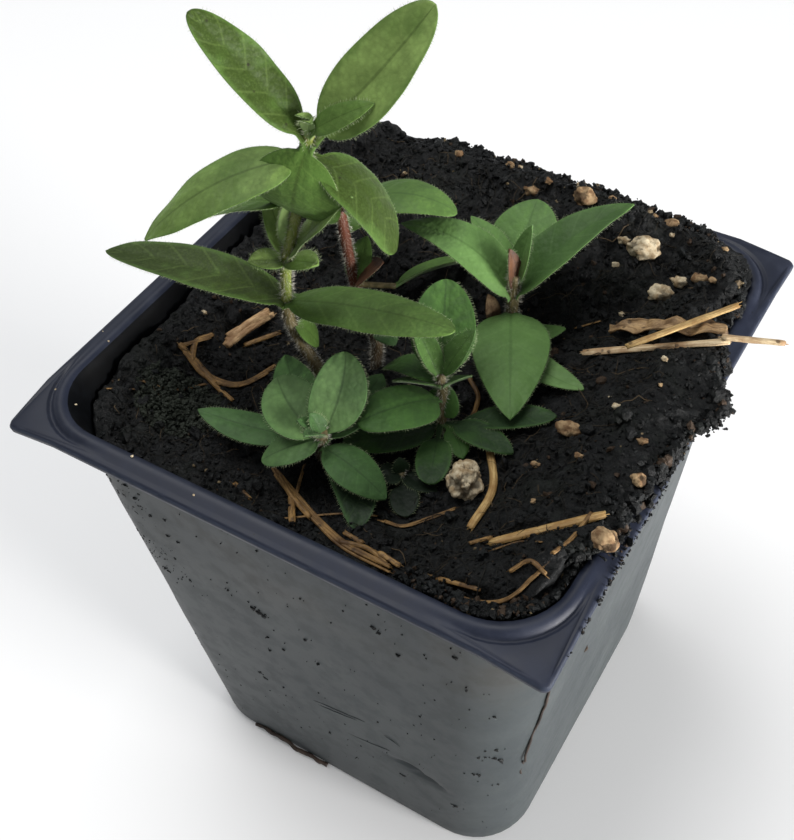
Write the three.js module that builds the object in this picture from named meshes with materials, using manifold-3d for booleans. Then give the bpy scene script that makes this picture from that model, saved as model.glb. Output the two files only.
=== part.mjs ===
// A young mint plant in a square nursery pot: several leafy shoots standing in dark potting
// mix, with straw, twigs, perlite and bark chips lying on it. Millimetres, +Z up. The origin is
// the middle of the pot's base, and the pot stands on z = 0.

import * as THREE from 'three';
import { mergeVertices } from 'three/addons/utils/BufferGeometryUtils.js';
import Module from 'manifold-3d';

const wasm = await Module();
wasm.setup();

// Driving dimensions of the pot
const rimHeight = 90;
const rimHalf = 44.5;
const baseHalf = 33.9;
const baseCorner = 11.5;
const wallTopHalf = 40.2;
const wallTopCorner = 10.6;
const wall = 1;
const beadRise = 0.8;
const cornerDroop = 1.2;
const slotLength = 19;
const slotHeight = 2.2;
const slotDepth = 5;
const slotMiddle = [-11.5, -33.9];

// Driving dimensions of the soil
const gap = 0.3;
const soilMiddle = 83;
const backHeap = 12.6;
const rightHeap = 9;
const leftHeap = 4.5;
const soilGrain = 1.3;
const stemDepth = 12;

// Driving dimensions of the plant
const bladeThickness = 0.7;
const petioleHalf = 0.5;
const tipHalf = 0.3;
const longBlade = 14;
const shortBlade = 8;
const slimBlade = 5;
const bladeRows = { long: 7, middle: 5, short: 4 };

const degree = Math.PI / 180;
const zAxis = new THREE.Vector3(0, 0, 1);
const vector = (p) => new THREE.Vector3(p[0], p[1], p[2]);
const mix = (a, b, t) => a + (b - a) * t;
const smooth = (from, to, value) => {
  const t = Math.min(1, Math.max(0, (value - from) / (to - from)));
  return t * t * (3 - 2 * t);
};

// Solids: closed meshes joined and cut as manifolds
function solid(geometry) {
  const bare = geometry.clone();
  bare.deleteAttribute('normal');
  bare.deleteAttribute('uv');
  const merged = mergeVertices(bare, 1e-4);
  return new wasm.Manifold(new wasm.Mesh({
    numProp: 3,
    vertProperties: new Float32Array(merged.attributes.position.array),
    triVerts: new Uint32Array(merged.index.array),
  }));
}

function geometryOf(manifold) {
  const mesh = manifold.getMesh();
  const geometry = new THREE.BufferGeometry();
  geometry.setAttribute('position', new THREE.Float32BufferAttribute(mesh.vertProperties, 3));
  geometry.setIndex(Array.from(mesh.triVerts));
  geometry.computeVertexNormals();
  return geometry;
}

function closedMesh(points, faces) {
  const geometry = new THREE.BufferGeometry();
  const flat = points.flatMap((p) => [p.x, p.y, p.z]);
  geometry.setAttribute('position', new THREE.Float32BufferAttribute(flat, 3));
  geometry.setIndex(faces.flat());
  return geometry;
}

// Smooth seeded noise between -1 and 1
function lattice(x, y, z) {
  const wave = Math.sin(x * 127.1 + y * 311.7 + z * 74.7) * 43758.5453;
  return 2 * (wave - Math.floor(wave)) - 1;
}

function noise(x, y, z) {
  const [cellX, cellY, cellZ] = [Math.floor(x), Math.floor(y), Math.floor(z)];
  const [u, v, w] = [smooth(0, 1, x - cellX), smooth(0, 1, y - cellY), smooth(0, 1, z - cellZ)];
  const edge = (j, k) => {
    const row = [cellY + j, cellZ + k];
    return mix(lattice(cellX, ...row), lattice(cellX + 1, ...row), u);
  };
  return mix(mix(edge(0, 0), edge(1, 0), v), mix(edge(0, 1), edge(1, 1), v), w);
}

// A closed solid between two grids of points that share their rows and columns
function slab(rows, columns, top, bottom) {
  const across = columns + 1;
  const layer = (rows + 1) * across;
  const points = [];
  for (const face of [top, bottom]) {
    for (let i = 0; i <= rows; i += 1) {
      for (let j = 0; j <= columns; j += 1) points.push(face(i / rows, j / columns));
    }
  }
  const faces = [];
  for (let i = 0; i < rows; i += 1) {
    for (let j = 0; j < columns; j += 1) {
      const a = i * across + j;
      const [b, c, d] = [a + across, a + across + 1, a + 1];
      faces.push([a, b, c], [a, c, d]);
      faces.push([layer + a, layer + c, layer + b], [layer + a, layer + d, layer + c]);
    }
  }
  const border = [];
  for (let j = 0; j < columns; j += 1) border.push(j);
  for (let i = 0; i < rows; i += 1) border.push(i * across + columns);
  for (let j = columns; j > 0; j -= 1) border.push(rows * across + j);
  for (let i = rows; i > 0; i -= 1) border.push(i * across);
  border.forEach((a, k) => {
    const b = border[(k + 1) % border.length];
    faces.push([a, b, layer + b], [a, layer + b, layer + a]);
  });
  return closedMesh(points, faces);
}

// A square outline with round corners, as one ring of points
function squareRing(half, corner, height, droop = 0) {
  const ring = [];
  const arcSteps = 4;
  const sidePlaces = [-0.75, 0, 0.75];
  for (let side = 0; side < 4; side += 1) {
    const turn = side * 90 * degree;
    const local = [];
    for (const place of sidePlaces) local.push([half, place * (half - corner)]);
    for (let step = 0; step <= arcSteps; step += 1) {
      const angle = (step / arcSteps) * 90 * degree;
      const reach = half - corner;
      local.push([reach + corner * Math.cos(angle), reach + corner * Math.sin(angle)]);
    }
    for (const [x, y] of local) {
      const sag = droop * smooth(35, rimHalf, Math.min(Math.abs(x), Math.abs(y)));
      ring.push(new THREE.Vector3(
        x * Math.cos(turn) - y * Math.sin(turn),
        x * Math.sin(turn) + y * Math.cos(turn),
        height - sag,
      ));
    }
  }
  return ring;
}

// A closed solid through rings of equal length, closed by a fan at its first and last ring
function lofted(rings) {
  const count = rings[0].length;
  const points = rings.flat();
  const faces = [];
  for (let k = 0; k + 1 < rings.length; k += 1) {
    for (let i = 0; i < count; i += 1) {
      const [a, b] = [k * count + i, k * count + ((i + 1) % count)];
      faces.push([a, b, b + count], [a, b + count, a + count]);
    }
  }
  const middle = (ring) => ring.reduce((sum, p) => sum.add(p), new THREE.Vector3()).divideScalar(count);
  points.push(middle(rings[0]), middle(rings.at(-1)));
  const [first, last] = [points.length - 2, points.length - 1];
  const lastRing = (rings.length - 1) * count;
  for (let i = 0; i < count; i += 1) {
    const next = (i + 1) % count;
    faces.push([first, next, i], [last, lastRing + i, lastRing + next]);
  }
  return closedMesh(points, faces);
}

// The pot: a thin square cup with a turned-down flange, a raised bead round the mouth and two slots
function slotCutter(turn) {
  const mouth = new THREE.Shape();
  mouth.absellipse(0, 0, slotLength / 2, slotHeight, 0, 2 * Math.PI, false, 0);
  const options = { depth: 2 * slotDepth, bevelEnabled: false, curveSegments: 6 };
  const cutter = new THREE.ExtrudeGeometry(mouth, options);
  cutter.rotateX(90 * degree);
  cutter.translate(slotMiddle[0], slotMiddle[1] + slotDepth, 0);
  cutter.rotateZ(turn);
  return solid(cutter);
}

function potSolid() {
  const flange = 0.8;
  const lip = 1;
  const middleHeight = rimHeight * 0.48;
  const middleHalf = mix(baseHalf, wallTopHalf, 0.5);
  const middleCorner = mix(baseCorner, wallTopCorner, 0.5);
  const rings = [
    squareRing(baseHalf - 0.8, baseCorner - 0.8, 0),
    squareRing(baseHalf, baseCorner, 1.2),
    squareRing(middleHalf, middleCorner, middleHeight),
    squareRing(wallTopHalf, wallTopCorner, rimHeight - 4),
    squareRing(wallTopHalf + 1.2, wallTopCorner, rimHeight - 1.4),
    squareRing(rimHalf - flange, 1, rimHeight - flange, cornerDroop),
    squareRing(rimHalf - flange, 1, rimHeight - lip, cornerDroop),
    squareRing(rimHalf, 1.2, rimHeight - lip, cornerDroop),
    squareRing(rimHalf, 1.2, rimHeight - 0.4, cornerDroop),
    squareRing(rimHalf - 0.5, 1.2, rimHeight, cornerDroop),
    squareRing(rimHalf - 1.3, 11.2, rimHeight),
    squareRing(rimHalf - 1.7, 11, rimHeight - 0.4),
    squareRing(rimHalf - 2.2, 10.7, rimHeight + beadRise * 0.6),
    squareRing(rimHalf - 3, 10.2, rimHeight + beadRise),
    squareRing(rimHalf - 3.8, 9.8, rimHeight + beadRise * 0.5),
    squareRing(rimHalf - 4.4, 9.5, rimHeight - 0.8),
    squareRing(wallTopHalf - wall, wallTopCorner - wall, rimHeight - 4.5),
    squareRing(middleHalf - wall, middleCorner - wall, middleHeight),
    squareRing(baseHalf - wall, baseCorner - wall, wall + 1.2),
    squareRing(baseHalf - wall - 0.8, baseCorner - wall - 0.8, wall),
  ];
  return solid(lofted(rings)).subtract(slotCutter(0)).subtract(slotCutter(Math.PI));
}

// The soil's surface: low round the shoots, heaped towards the back and the right, rough all over
function soilHeight(x, y) {
  const mound = 1.6 * Math.exp(-(((x - 3) / 6) ** 2)) * smooth(30, 41, y);
  const back = (backHeap - 3 * smooth(14, 34, x)) * smooth(6, 41, y) + mound;
  const right = rightHeap * smooth(16, 39, x) * smooth(-46, -30, y);
  const left = leftHeap * smooth(-25, -40, x);
  const heap = Math.max(back, right, left) + 0.25 * Math.min(back, right);
  const hollow = 1.8 * Math.exp(-(((x - 8) / 12) ** 2) - (((y + 24) / 9) ** 2))
    + 3.5 * Math.exp(-(((x + 37) / 7) ** 2) - (((y + 37) / 7) ** 2));
  const lumps = 0.7 * noise(x / 7, y / 7, 3.5) + 0.5 * noise(x / 3.1, y / 3.1, 8.5);
  return soilMiddle + heap - hollow + soilGrain * lumps;
}

function soilCore() {
  const rings = [];
  const ringCount = 7;
  const mouthHalf = wallTopHalf - wall - gap;
  const floor = wall + gap;
  rings.push(squareRing(baseHalf - wall - gap - 1.2, baseCorner - 2, floor));
  rings.push(squareRing(baseHalf - wall - gap, baseCorner - wall, floor + 1.6));
  rings.push(squareRing(mouthHalf - 0.6, wallTopCorner - wall, rimHeight - 12));
  for (let k = ringCount; k > 0; k -= 1) {
    const share = k / ringCount;
    const ring = squareRing(mouthHalf * share, (wallTopCorner - wall) * share, 0);
    ring.forEach((p) => { p.z = soilHeight(p.x, p.y); });
    rings.push(ring);
  }
  const dense = rings.map((ring) => ring.flatMap((p, i) => {
    const half = p.clone().lerp(ring[(i + 1) % ring.length], 0.5);
    return [p, half];
  }));
  dense.slice(3).flat().forEach((p) => { p.z = soilHeight(p.x, p.y); });
  return solid(lofted(dense));
}

// Soil that lies over the rim, on the bead, from one end of a side to the other
function soilSpill(from, to, steps, reach, turn) {
  const bottom = rimHeight + beadRise + gap;
  const lines = [wallTopHalf - 5, wallTopHalf - 1.8, wallTopHalf + 0.1];
  const place = (s, t) => {
    const along = mix(to, from, s);
    const ends = Math.sqrt(Math.sin(Math.PI * mix(0.04, 0.96, s)));
    const edge = mix(wallTopHalf + 1, reach(along), ends);
    const column = Math.round(t * 5);
    const out = column < 3 ? lines[column] : mix(lines[2], edge, (column - 2) / 3);
    const spot = new THREE.Vector2(out, along).rotateAround(new THREE.Vector2(), turn);
    return { x: spot.x, y: spot.y, column };
  };
  const under = (s, t) => {
    const { x, y, column } = place(s, t);
    return new THREE.Vector3(x, y, column < 2 ? rimHeight - 4 : bottom);
  };
  const over = (s, t) => {
    const { x, y, column } = place(s, t);
    const crest = Math.max(soilHeight(x, y) + 0.4, bottom + 1.2 + 0.5 * noise(x / 3, y / 3, 1.5));
    const end = smooth(0, 0.1, Math.min(s, 1 - s));
    const heights = [rimHeight - 3.5, crest, crest, crest, mix(bottom + 0.6, crest, 0.7), bottom + 0.6];
    return new THREE.Vector3(x, y, mix(Math.min(heights[column], bottom + 0.6), heights[column], end));
  };
  return solid(slab(steps, 5, over, under));
}

function rightReach(along) {
  const clump = 4 * Math.exp(-(((along - 4) / 7) ** 2));
  const far = smooth(14, 19, along);
  return 43.4 + clump - far + 0.9 * noise(along / 3, 2.2, 0.5);
}

function backReach(along) {
  return 44.1 + 0.8 * noise(along / 3, 7.7, 0.5);
}

// Leaf blades: an outline drawn from petiole to tip, arched along its length and dished across
function blade(leaf, grow = 0) {
  const { root, tip, width, arch = 1, dish = 0.12, roll = 0 } = leaf;
  const { belly = 0.42, full = 1.25, end = full, petiole = 0.07, foot = petioleHalf, sweep = 0 } = leaf;
  const start = vector(root);
  const chord = vector(tip).sub(start);
  const along = chord.clone().normalize();
  const level = along.clone().cross(zAxis).normalize();
  const face = level.clone().cross(along);
  const turn = roll * degree;
  const side = level.clone().multiplyScalar(Math.cos(turn)).addScaledVector(face, Math.sin(turn));
  const up = side.clone().cross(along);
  const bulge = (s) => {
    const power = s < belly ? full : end;
    return (s / belly) ** (belly * power) * ((1 - s) / (1 - belly)) ** ((1 - belly) * power);
  };
  const half = (u) => {
    const s = (u - petiole) / (1 - petiole);
    const narrow = mix(foot, tipHalf, Math.sqrt(u));
    return s <= 0 ? narrow : Math.max(narrow, (width / 2) * bulge(Math.min(1, s)));
  };
  const surface = (lift) => (u, t) => {
    const v = 1 - 2 * t;
    const reach = half(u) + grow;
    const bow = 4 * u * (1 - u);
    const rise = arch * bow + dish * reach * Math.abs(v) ** 1.5;
    return start.clone()
      .addScaledVector(chord, u + (grow / chord.length()) * (2 * u - 1))
      .addScaledVector(side, reach * v + sweep * bow)
      .addScaledVector(up, rise + lift);
  };
  const lift = bladeThickness / 2 + grow;
  const length = chord.length();
  const size = length > longBlade ? 'long' : length > shortBlade ? 'middle' : 'short';
  const rows = bladeRows[size];
  const columns = width > slimBlade ? 4 : 2;
  return solid(slab(rows, columns, surface(lift), surface(-lift)));
}

// A round stem, straw or twig along a smooth path
function rod(points, radius, sides = 7) {
  const path = new THREE.CatmullRomCurve3(points.map(vector), false, 'centripetal');
  const section = new THREE.Shape();
  for (let k = 0; k < sides; k += 1) {
    const angle = (k / sides) * 2 * Math.PI;
    const spot = [radius * Math.cos(angle), radius * Math.sin(angle)];
    if (k === 0) section.moveTo(...spot);
    else section.lineTo(...spot);
  }
  section.closePath();
  const steps = points.length > 2 ? 2 * (points.length - 1) : 1;
  const options = { steps, bevelEnabled: false, extrudePath: path };
  return solid(new THREE.ExtrudeGeometry(section, options));
}

// Straight hole in the soil under the first point of a stem
function stemHole(foot, radius) {
  const hole = new THREE.CylinderGeometry(radius + gap, radius + gap, 30, 8);
  hole.rotateX(90 * degree);
  hole.translate(foot[0], foot[1], foot[2] - stemDepth - gap + 15);
  return solid(hole);
}

// A shoot: one stem from under the soil, with all its leaves rooted in it
function shoot({ stems, leaves }) {
  const rods = stems.map(({ path, radius, planted = true }) => {
    const foot = path[0];
    const buried = [stemDepth, 2].map((depth) => [foot[0], foot[1], foot[2] - depth]);
    return rod(planted ? [...buried, ...path] : path, radius);
  });
  const blades = leaves.map((leaf) => blade(leaf));
  return [...rods, ...blades].reduce((sum, next) => sum.add(next));
}

const tallShoot = {
  stems: [
    { path: [[-10.3, -10.5, 83], [-13.6, -10.4, 89], [-15.5, -11, 95], [-15.6, -11, 99]], radius: 0.95 },
    {
      path: [
        [-15.6, -11, 98], [-14.3, -11.2, 107], [-12.3, -10.7, 114], [-10.7, -9.7, 121.5], [-8.6, -9.4, 129.5],
      ],
      radius: 0.8,
      planted: false,
    },
  ],
  leaves: [
    {
      root: [-8.9, -9.7, 128.3], tip: [-20.8, -14.3, 145.5], width: 7, arch: -0.3, roll: 25, sweep: 0.6,
      foot: 1.5, end: 0.85,
    },
    {
      root: [-8.5, -9.2, 128.3], tip: [4.9, 0, 145.5], width: 9.6, arch: 0.4, roll: -38, sweep: 0.7,
      foot: 1.4, end: 0.85,
    },
    { root: [-8.4, -9.9, 129.6], tip: [0.1, -7.3, 135], width: 3.2, arch: 0.8, roll: -45, foot: 0.9 },
    {
      root: [-9.6, -9.5, 125.5], tip: [-27.2, -24.3, 115.5], width: 9.6, arch: 3, dish: -0.12, roll: 8,
      belly: 0.36, foot: 1.4,
    },
    {
      root: [-9.6, -9.3, 125.5], tip: [1.3, -6.3, 111.5], width: 9.6, arch: 2.6, dish: -0.1, sweep: -0.4,
      end: 0.85, foot: 1.2,
    },
    {
      root: [-8.7, -10, 128], tip: [-12.2, -10.1, 115.5], width: 13, arch: 2.8, dish: -0.1, roll: 101,
      full: 0.9, belly: 0.55, foot: 2.4,
    },
    {
      root: [-15.4, -11, 99], tip: [-43.6, -17.9, 102.5], width: 8.2, arch: 1.6, dish: 0.1, full: 0.95,
      belly: 0.4, petiole: 0.02, foot: 2.2,
    },
    {
      root: [-15.4, -11, 99], tip: [10.9, -7.2, 101.5], width: 8.8, arch: 1.4, dish: -0.1, full: 0.95,
      petiole: 0.03, foot: 2,
    },
    { root: [-14.4, -11.2, 107], tip: [-17.7, -15, 108.5], width: 4.2, arch: 0.3, foot: 1 },
    { root: [-14.4, -11.2, 107], tip: [-9, -10.9, 108.5], width: 4.2, arch: 0.3, foot: 1 },
    { root: [-14.3, -11.1, 107.5], tip: [-18.5, -8.5, 117.5], width: 3.4, arch: 0.4, dish: 0.4, foot: 1 },
    {
      root: [-14.3, -11.1, 107.5], tip: [-2.8, -9.7, 121.5], width: 4.6, arch: 0.5, dish: 0.2, foot: 1.2,
      roll: -20,
    },
    { root: [-13.8, -11, 109.5], tip: [-12.2, -11.2, 119], width: 2.6, arch: 0.3, dish: 0.3 },
    { root: [-11.6, -10.3, 117.5], tip: [-27.2, -11.2, 110.5], width: 6.5, arch: 1.6 },
    { root: [-15.2, -10.9, 94.5], tip: [-11.9, -9.6, 90], width: 4.4, arch: 0.8 },
  ],
};

const backShoot = {
  stems: [
    { path: [[-16, 7.2, 85.5], [-17.4, 8, 92], [-18.1, 8.1, 98.5], [-18.6, 8.4, 102]], radius: 0.9 },
    { path: [[-16.3, 7.4, 87.5], [-10.6, 10.8, 86.8]], radius: 0.5, planted: false },
  ],
  leaves: [
    {
      root: [-18.3, 8.2, 100.5], tip: [-0.8, 14.2, 103], width: 8.6, arch: 3.2, dish: -0.1, full: 0.9,
      sweep: -1,
    },
    { root: [-11, 10.5, 86.8], tip: [-0.5, 20.4, 89.3], width: 4.6, arch: 1, dish: 0.3, roll: 25 },
    { root: [-18.4, 8.2, 100.5], tip: [-27.5, 3.5, 106], width: 6.5, arch: 1 },
    { root: [-18, 8.1, 96], tip: [-20, 20, 99], width: 7, arch: 1.5 },
    { root: [-16.2, 7, 87.5], tip: [-16.5, 12.2, 94], width: 4.6, arch: 0.6 },
    { root: [-16.2, 6.9, 87.5], tip: [-11.8, 9.4, 92.5], width: 4.8, arch: 0.6, full: 0.9 },
  ],
};

const rightShoot = {
  stems: [
    { path: [[9.6, 12.5, 85], [9.4, 13.5, 90], [9.4, 13.8, 95]], radius: 1 },
  ],
  leaves: [
    {
      root: [9.4, 13.5, 91], tip: [-9.5, 11.8, 99.5], width: 7.6, arch: 4.2, dish: 0.1, roll: 12,
      sweep: 0.6, belly: 0.36, petiole: 0.02, foot: 1.7,
    },
    {
      root: [9.4, 13.7, 91], tip: [21.7, 29.1, 102.5], width: 8, arch: 2.6, dish: 0.2, belly: 0.36,
      petiole: 0.02, foot: 1.7,
    },
    {
      root: [9.4, 14.2, 91.5], tip: [6.6, 27, 99.5], width: 11, arch: 0.8, full: 1, sweep: -0.4, foot: 1,
    },
    { root: [9.5, 13.7, 92], tip: [10.6, 16.9, 103], width: 3.4, arch: 0.4, dish: 0.3 },
    { root: [9.4, 13.4, 92], tip: [8.6, 13.6, 100], width: 3, arch: 0.4, dish: 0.3 },
    {
      root: [9.7, 12.4, 88.4], tip: [20, -7.6, 88.2], width: 12, arch: 1.6, dish: -0.12, full: 1.15,
      belly: 0.3, petiole: 0.02, foot: 1.5,
    },
    { root: [9.7, 12.4, 85.6], tip: [18.3, 14.5, 87], width: 4.4, arch: -0.4, sweep: 1.2 },
    { root: [9.7, 12.3, 85.6], tip: [26.5, 3.5, 87.5], width: 5.4, arch: 0, sweep: 2.4, petiole: 0.25 },
    { root: [9.4, 13.6, 91], tip: [-0.7, 18.4, 99.5], width: 5.2, arch: 2 },
  ],
};

const middleShoot = {
  stems: [
    { path: [[9.9, -10.1, 83], [9.5, -8.7, 89], [9.1, -8.5, 93]], radius: 0.8 },
  ],
  leaves: [
    { root: [9.1, -8.4, 92.4], tip: [4, 2.4, 100.8], width: 9.5, arch: 0.6, full: 1, foot: 0.8 },
    { root: [9, -8.7, 92.4], tip: [3.1, -5.8, 98.8], width: 3.4, arch: 0.3, dish: 0.4, foot: 0.8 },
    { root: [9.2, -8.5, 92.4], tip: [11.5, -2.5, 98], width: 4, arch: 0.4, dish: 0.3, foot: 0.8 },
    { root: [9.5, -9, 91.4], tip: [2.2, -10.9, 90.5], width: 5, arch: 0.4, roll: -34, foot: 1.1 },
    { root: [9.5, -9, 91.4], tip: [12.2, -4.8, 91], width: 4, arch: 0.3, roll: 38, foot: 1.1 },
    { root: [9.4, -8.6, 91], tip: [-2, -6.8, 87.5], width: 4.6, arch: 2.2 },
    { root: [9.8, -9.8, 85.6], tip: [9.9, -7.8, 90.4], width: 5.6, arch: 0.4, full: 1 },
    { root: [9.9, -10, 84.2], tip: [25.3, -3, 87.4], width: 4.8, arch: 0.3, petiole: 0.18, belly: 0.52 },
    { root: [9.8, -9.8, 84.6], tip: [22.3, -10.8, 85.4], width: 4.8, arch: 0.8, petiole: 0.2 },
    { root: [9.6, -9.4, 89], tip: [2.6, -21.1, 91.2], width: 9, arch: 1.2, dish: -0.1, full: 0.9 },
    {
      root: [9.9, -10.2, 84.6], tip: [14.3, -21.1, 84.6], width: 5.2, arch: 0.6, full: 0.9, belly: 0.5,
      petiole: 0.3,
    },
    {
      root: [9.9, -10.1, 84.6], tip: [15.9, -14.2, 84], width: 3.8, arch: 0.4, sweep: -0.6,
      petiole: 0.25,
    },
    { root: [9.8, -10, 84.2], tip: [-0.8, -20.8, 84.8], width: 8, arch: 0.4, sweep: -0.4 },
  ],
};

const innerShoot = {
  stems: [
    { path: [[-5.8, -3.5, 83.2], [-4.9, -4, 88.5], [-4.9, -4.6, 93]], radius: 0.9 },
  ],
  leaves: [
    { root: [-4.9, -4.7, 92.5], tip: [-7.9, -5.9, 95], width: 4.6, arch: 0.5, foot: 0.9 },
    { root: [-4.6, -4.9, 92.5], tip: [-0.7, -5, 91.5], width: 4.6, arch: 0.8, foot: 0.9, sweep: -0.4 },
  ],
};

const frontSprout = {
  stems: [
    { path: [[9.1, -20.4, 81.5], [9.1, -20.4, 83.6]], radius: 0.7 },
  ],
  leaves: [
    { root: [9.1, -20.4, 83.3], tip: [6.9, -23, 83.4], width: 4.2, arch: 0.4 },
    { root: [9.1, -20.4, 83], tip: [15.2, -20.6, 83], width: 3.4, arch: 0.2 },
    {
      root: [9.1, -20.4, 82.9], tip: [13.6, -26.6, 82.8], width: 4.2, arch: 0.2, full: 0.9, petiole: 0.3,
    },
    { root: [9.1, -20.4, 83.2], tip: [8.6, -19.9, 86], width: 2.4, arch: 0.2 },
  ],
};

const frontLeftShoot = {
  stems: [
    { path: [[-3.2, -22.6, 83], [-2.2, -23.8, 87], [-1, -24.9, 91]], radius: 0.95 },
  ],
  leaves: [
    {
      root: [-1.6, -24.6, 89], tip: [-21.5, -27.8, 88], width: 5.8, arch: -0.4, dish: -0.1, petiole: 0.2,
      sweep: -0.4,
    },
    { root: [-1, -24.9, 89.5], tip: [-11.7, -20.3, 93], width: 9, arch: 1, full: 1, sweep: -1.2 },
    { root: [-1.6, -24.4, 88.5], tip: [-14.6, -14.2, 90.8], width: 7, arch: 0.8, sweep: -0.8 },
    { root: [-1, -24.9, 90], tip: [-3.7, -13.5, 96], width: 8.2, arch: 1, full: 1, sweep: 1.1 },
    { root: [-1.2, -24.6, 88.6], tip: [-1.3, -8.4, 88], width: 6.6, arch: 0.4, sweep: 0.6 },
    { root: [-0.9, -25, 90], tip: [-7.6, -31, 87.5], width: 6, arch: 0.8, full: 0.9, dish: -0.1 },
    {
      root: [-1, -25.2, 88.4], tip: [10.3, -26.4, 84.6], width: 6.6, arch: 1.2, dish: -0.1,
      petiole: 0.04, foot: 0.9,
    },
    {
      root: [-2.4, -23.7, 86], tip: [9, -31.7, 82.9], width: 6.2, arch: 0.2, full: 0.9, petiole: 0.2,
      sweep: -2,
    },
    { root: [-1, -24.9, 90.3], tip: [-4, -26.2, 93.5], width: 3, arch: 0.4, dish: 0.3 },
    { root: [-1, -24.9, 90.3], tip: [-2.9, -24.6, 94], width: 2.8, arch: 0.3, dish: 0.3 },
    { root: [-1, -24.9, 90.3], tip: [-1.1, -28.5, 94], width: 2.6, arch: 0.4, dish: 0.3 },
  ],
};

const greens = { young: '#7f9a48', upper: '#5f7f45', low: '#4c6b42' };
const finishes = {
  plastic: { color: '#565b60', roughness: 0.5 },
  soil: { color: '#1b1c1b', roughness: 1 },
  straw: { color: '#c0a468', roughness: 0.75 },
  twig: { color: '#7a5a36', roughness: 0.85 },
  perlite: { color: '#d8cdb8', roughness: 0.9 },
  bark: { color: '#b48a5c', roughness: 0.9 },
};

// Straws and twigs that lie on the soil. A path holds x, y and the height of its middle
// line over the soil's surface there, and a tail is a thinner end of the same piece.
const rods = {
  straw_long: {
    path: [[23, 11.2, 1.6], [42.8, 16.6, 1.2]],
    radius: 0.8,
    tail: [[42, 16.6, 1.5], [50, 19.4, 1.2]],
    tailRadius: 0.5,
    finish: 'straw',
  },
  straw_slanting: { path: [[30, 10.4, 3.3], [41.8, 22.2, 2.8]], radius: 0.7, finish: 'straw' },
  root_strand: {
    path: [[9.9, -28.4, 0.4], [13.8, -27.9, 0.4], [16.3, -25.3, 0.4], [19.6, -21.8, 0.4]],
    radius: 0.5,
    finish: 'straw',
  },
  straw_front: { path: [[27.7, -27.6, 0.5], [40, -19.8, 0.6]], radius: 0.95, finish: 'straw' },
  straw_middle: {
    path: [[17.9, -9.9, 0.5], [22.6, -17.6, 0.4], [23.3, -25.4, 0.5]],
    radius: 0.8,
    finish: 'straw',
  },
  twig_front: {
    path: [[-8.4, -28.5, 0.6], [-2.6, -31.1, 0.5], [3.3, -33.4, 0.5], [8.7, -35.2, 0.5], [17.5, -35.8, 0.5]],
    radius: 0.85,
    finish: 'twig',
  },
  twig_left: {
    path: [[-32.8, -17.5, 0.5], [-28, -18.7, 0.5], [-22.6, -17.2, 0.5], [-19.3, -12, 0.6]],
    radius: 0.8,
    finish: 'twig',
  },
  twig_corner: {
    path: [[26.9, -36.6, 0.4], [30.3, -36.6, 0.4], [34.2, -35.6, 0.4], [37, -31, 0.4]],
    radius: 0.6,
    finish: 'twig',
  },
};
const onSoil = (path) => path.map(([x, y, above]) => [x, y, soilHeight(x, y) + above]);

function loosePiece({ path, radius, tail, tailRadius }) {
  const body = rod(onSoil(path), radius);
  return tail ? body.add(rod(onSoil(tail), tailRadius)) : body;
}

const dryBlades = {
  dead_leaf: {
    root: [24.6, 16.4, 88.6],
    tip: [42, 18.6, 94],
    width: 4,
    arch: 0.4,
    dish: 0.1,
    full: 0.7,
    finish: 'twig',
  },
  dead_bract: { root: [7.4, 11.4, 85.2], tip: [5.8, 12, 91], width: 3, arch: 0.3, finish: 'bark' },
};

// Perlite and bark lumps pressed a little into the soil: place, three half sizes and seed
const lumps = {
  perlite_ball: { at: [18.7, -18.7], size: [2.8, 2.9, 2.8], rise: 0.95, seed: 1, finish: 'perlite' },
  perlite_pair: { at: [29.2, 24.9], size: [2.2, 1.7, 1.5], seed: 2, finish: 'perlite' },
  perlite_back: { at: [23.8, 30.6], size: [2.9, 2.2, 1.9], seed: 3, finish: 'perlite' },
  bark_back: { at: [11, 35.4], size: [2.2, 1.8, 1.5], seed: 4, finish: 'bark' },
  bark_rim: { at: [42, -23.8], size: [2.1, 1.9, 1.6], seed: 5, finish: 'bark' },
  bark_middle: { at: [28.7, -6.2], size: [2.2, 1.5, 1.4], seed: 6, finish: 'bark' },
  bark_right: { at: [41.8, -12.6], size: [1.3, 1.1, 1.1], seed: 7, finish: 'bark' },
  bark_left: { at: [-28, -7.2], size: [5, 1.3, 1.2], seed: 8, turn: 76, finish: 'bark' },
};

function lump({ at, size, seed, turn = 0, rise = 0.45 }, grow = 0) {
  const ball = new THREE.IcosahedronGeometry(1, 1);
  ball.deleteAttribute('normal');
  ball.deleteAttribute('uv');
  const shape = mergeVertices(ball, 1e-4);
  const places = shape.attributes.position;
  for (let i = 0; i < places.count; i += 1) {
    const p = new THREE.Vector3().fromBufferAttribute(places, i);
    const knobs = 1 + 0.16 * noise(2.3 * p.x + seed * 9, 2.3 * p.y, 2.3 * p.z);
    p.set(p.x * (size[0] * knobs + grow), p.y * (size[1] * knobs + grow), p.z * (size[2] * knobs + grow));
    places.setXYZ(i, p.x, p.y, p.z);
  }
  shape.rotateZ(turn * degree);
  shape.translate(at[0], at[1], soilHeight(at[0], at[1]) + size[2] * rise);
  return solid(shape);
}

const shoots = {
  tall_shoot: { plant: tallShoot, color: greens.upper },
  back_shoot: { plant: backShoot, color: greens.upper },
  right_shoot: { plant: rightShoot, color: greens.young },
  middle_shoot: { plant: middleShoot, color: greens.low },
  inner_shoot: { plant: innerShoot, color: greens.low },
  front_sprout: { plant: frontSprout, color: greens.low },
  front_left_shoot: { plant: frontLeftShoot, color: greens.upper },
};

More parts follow.
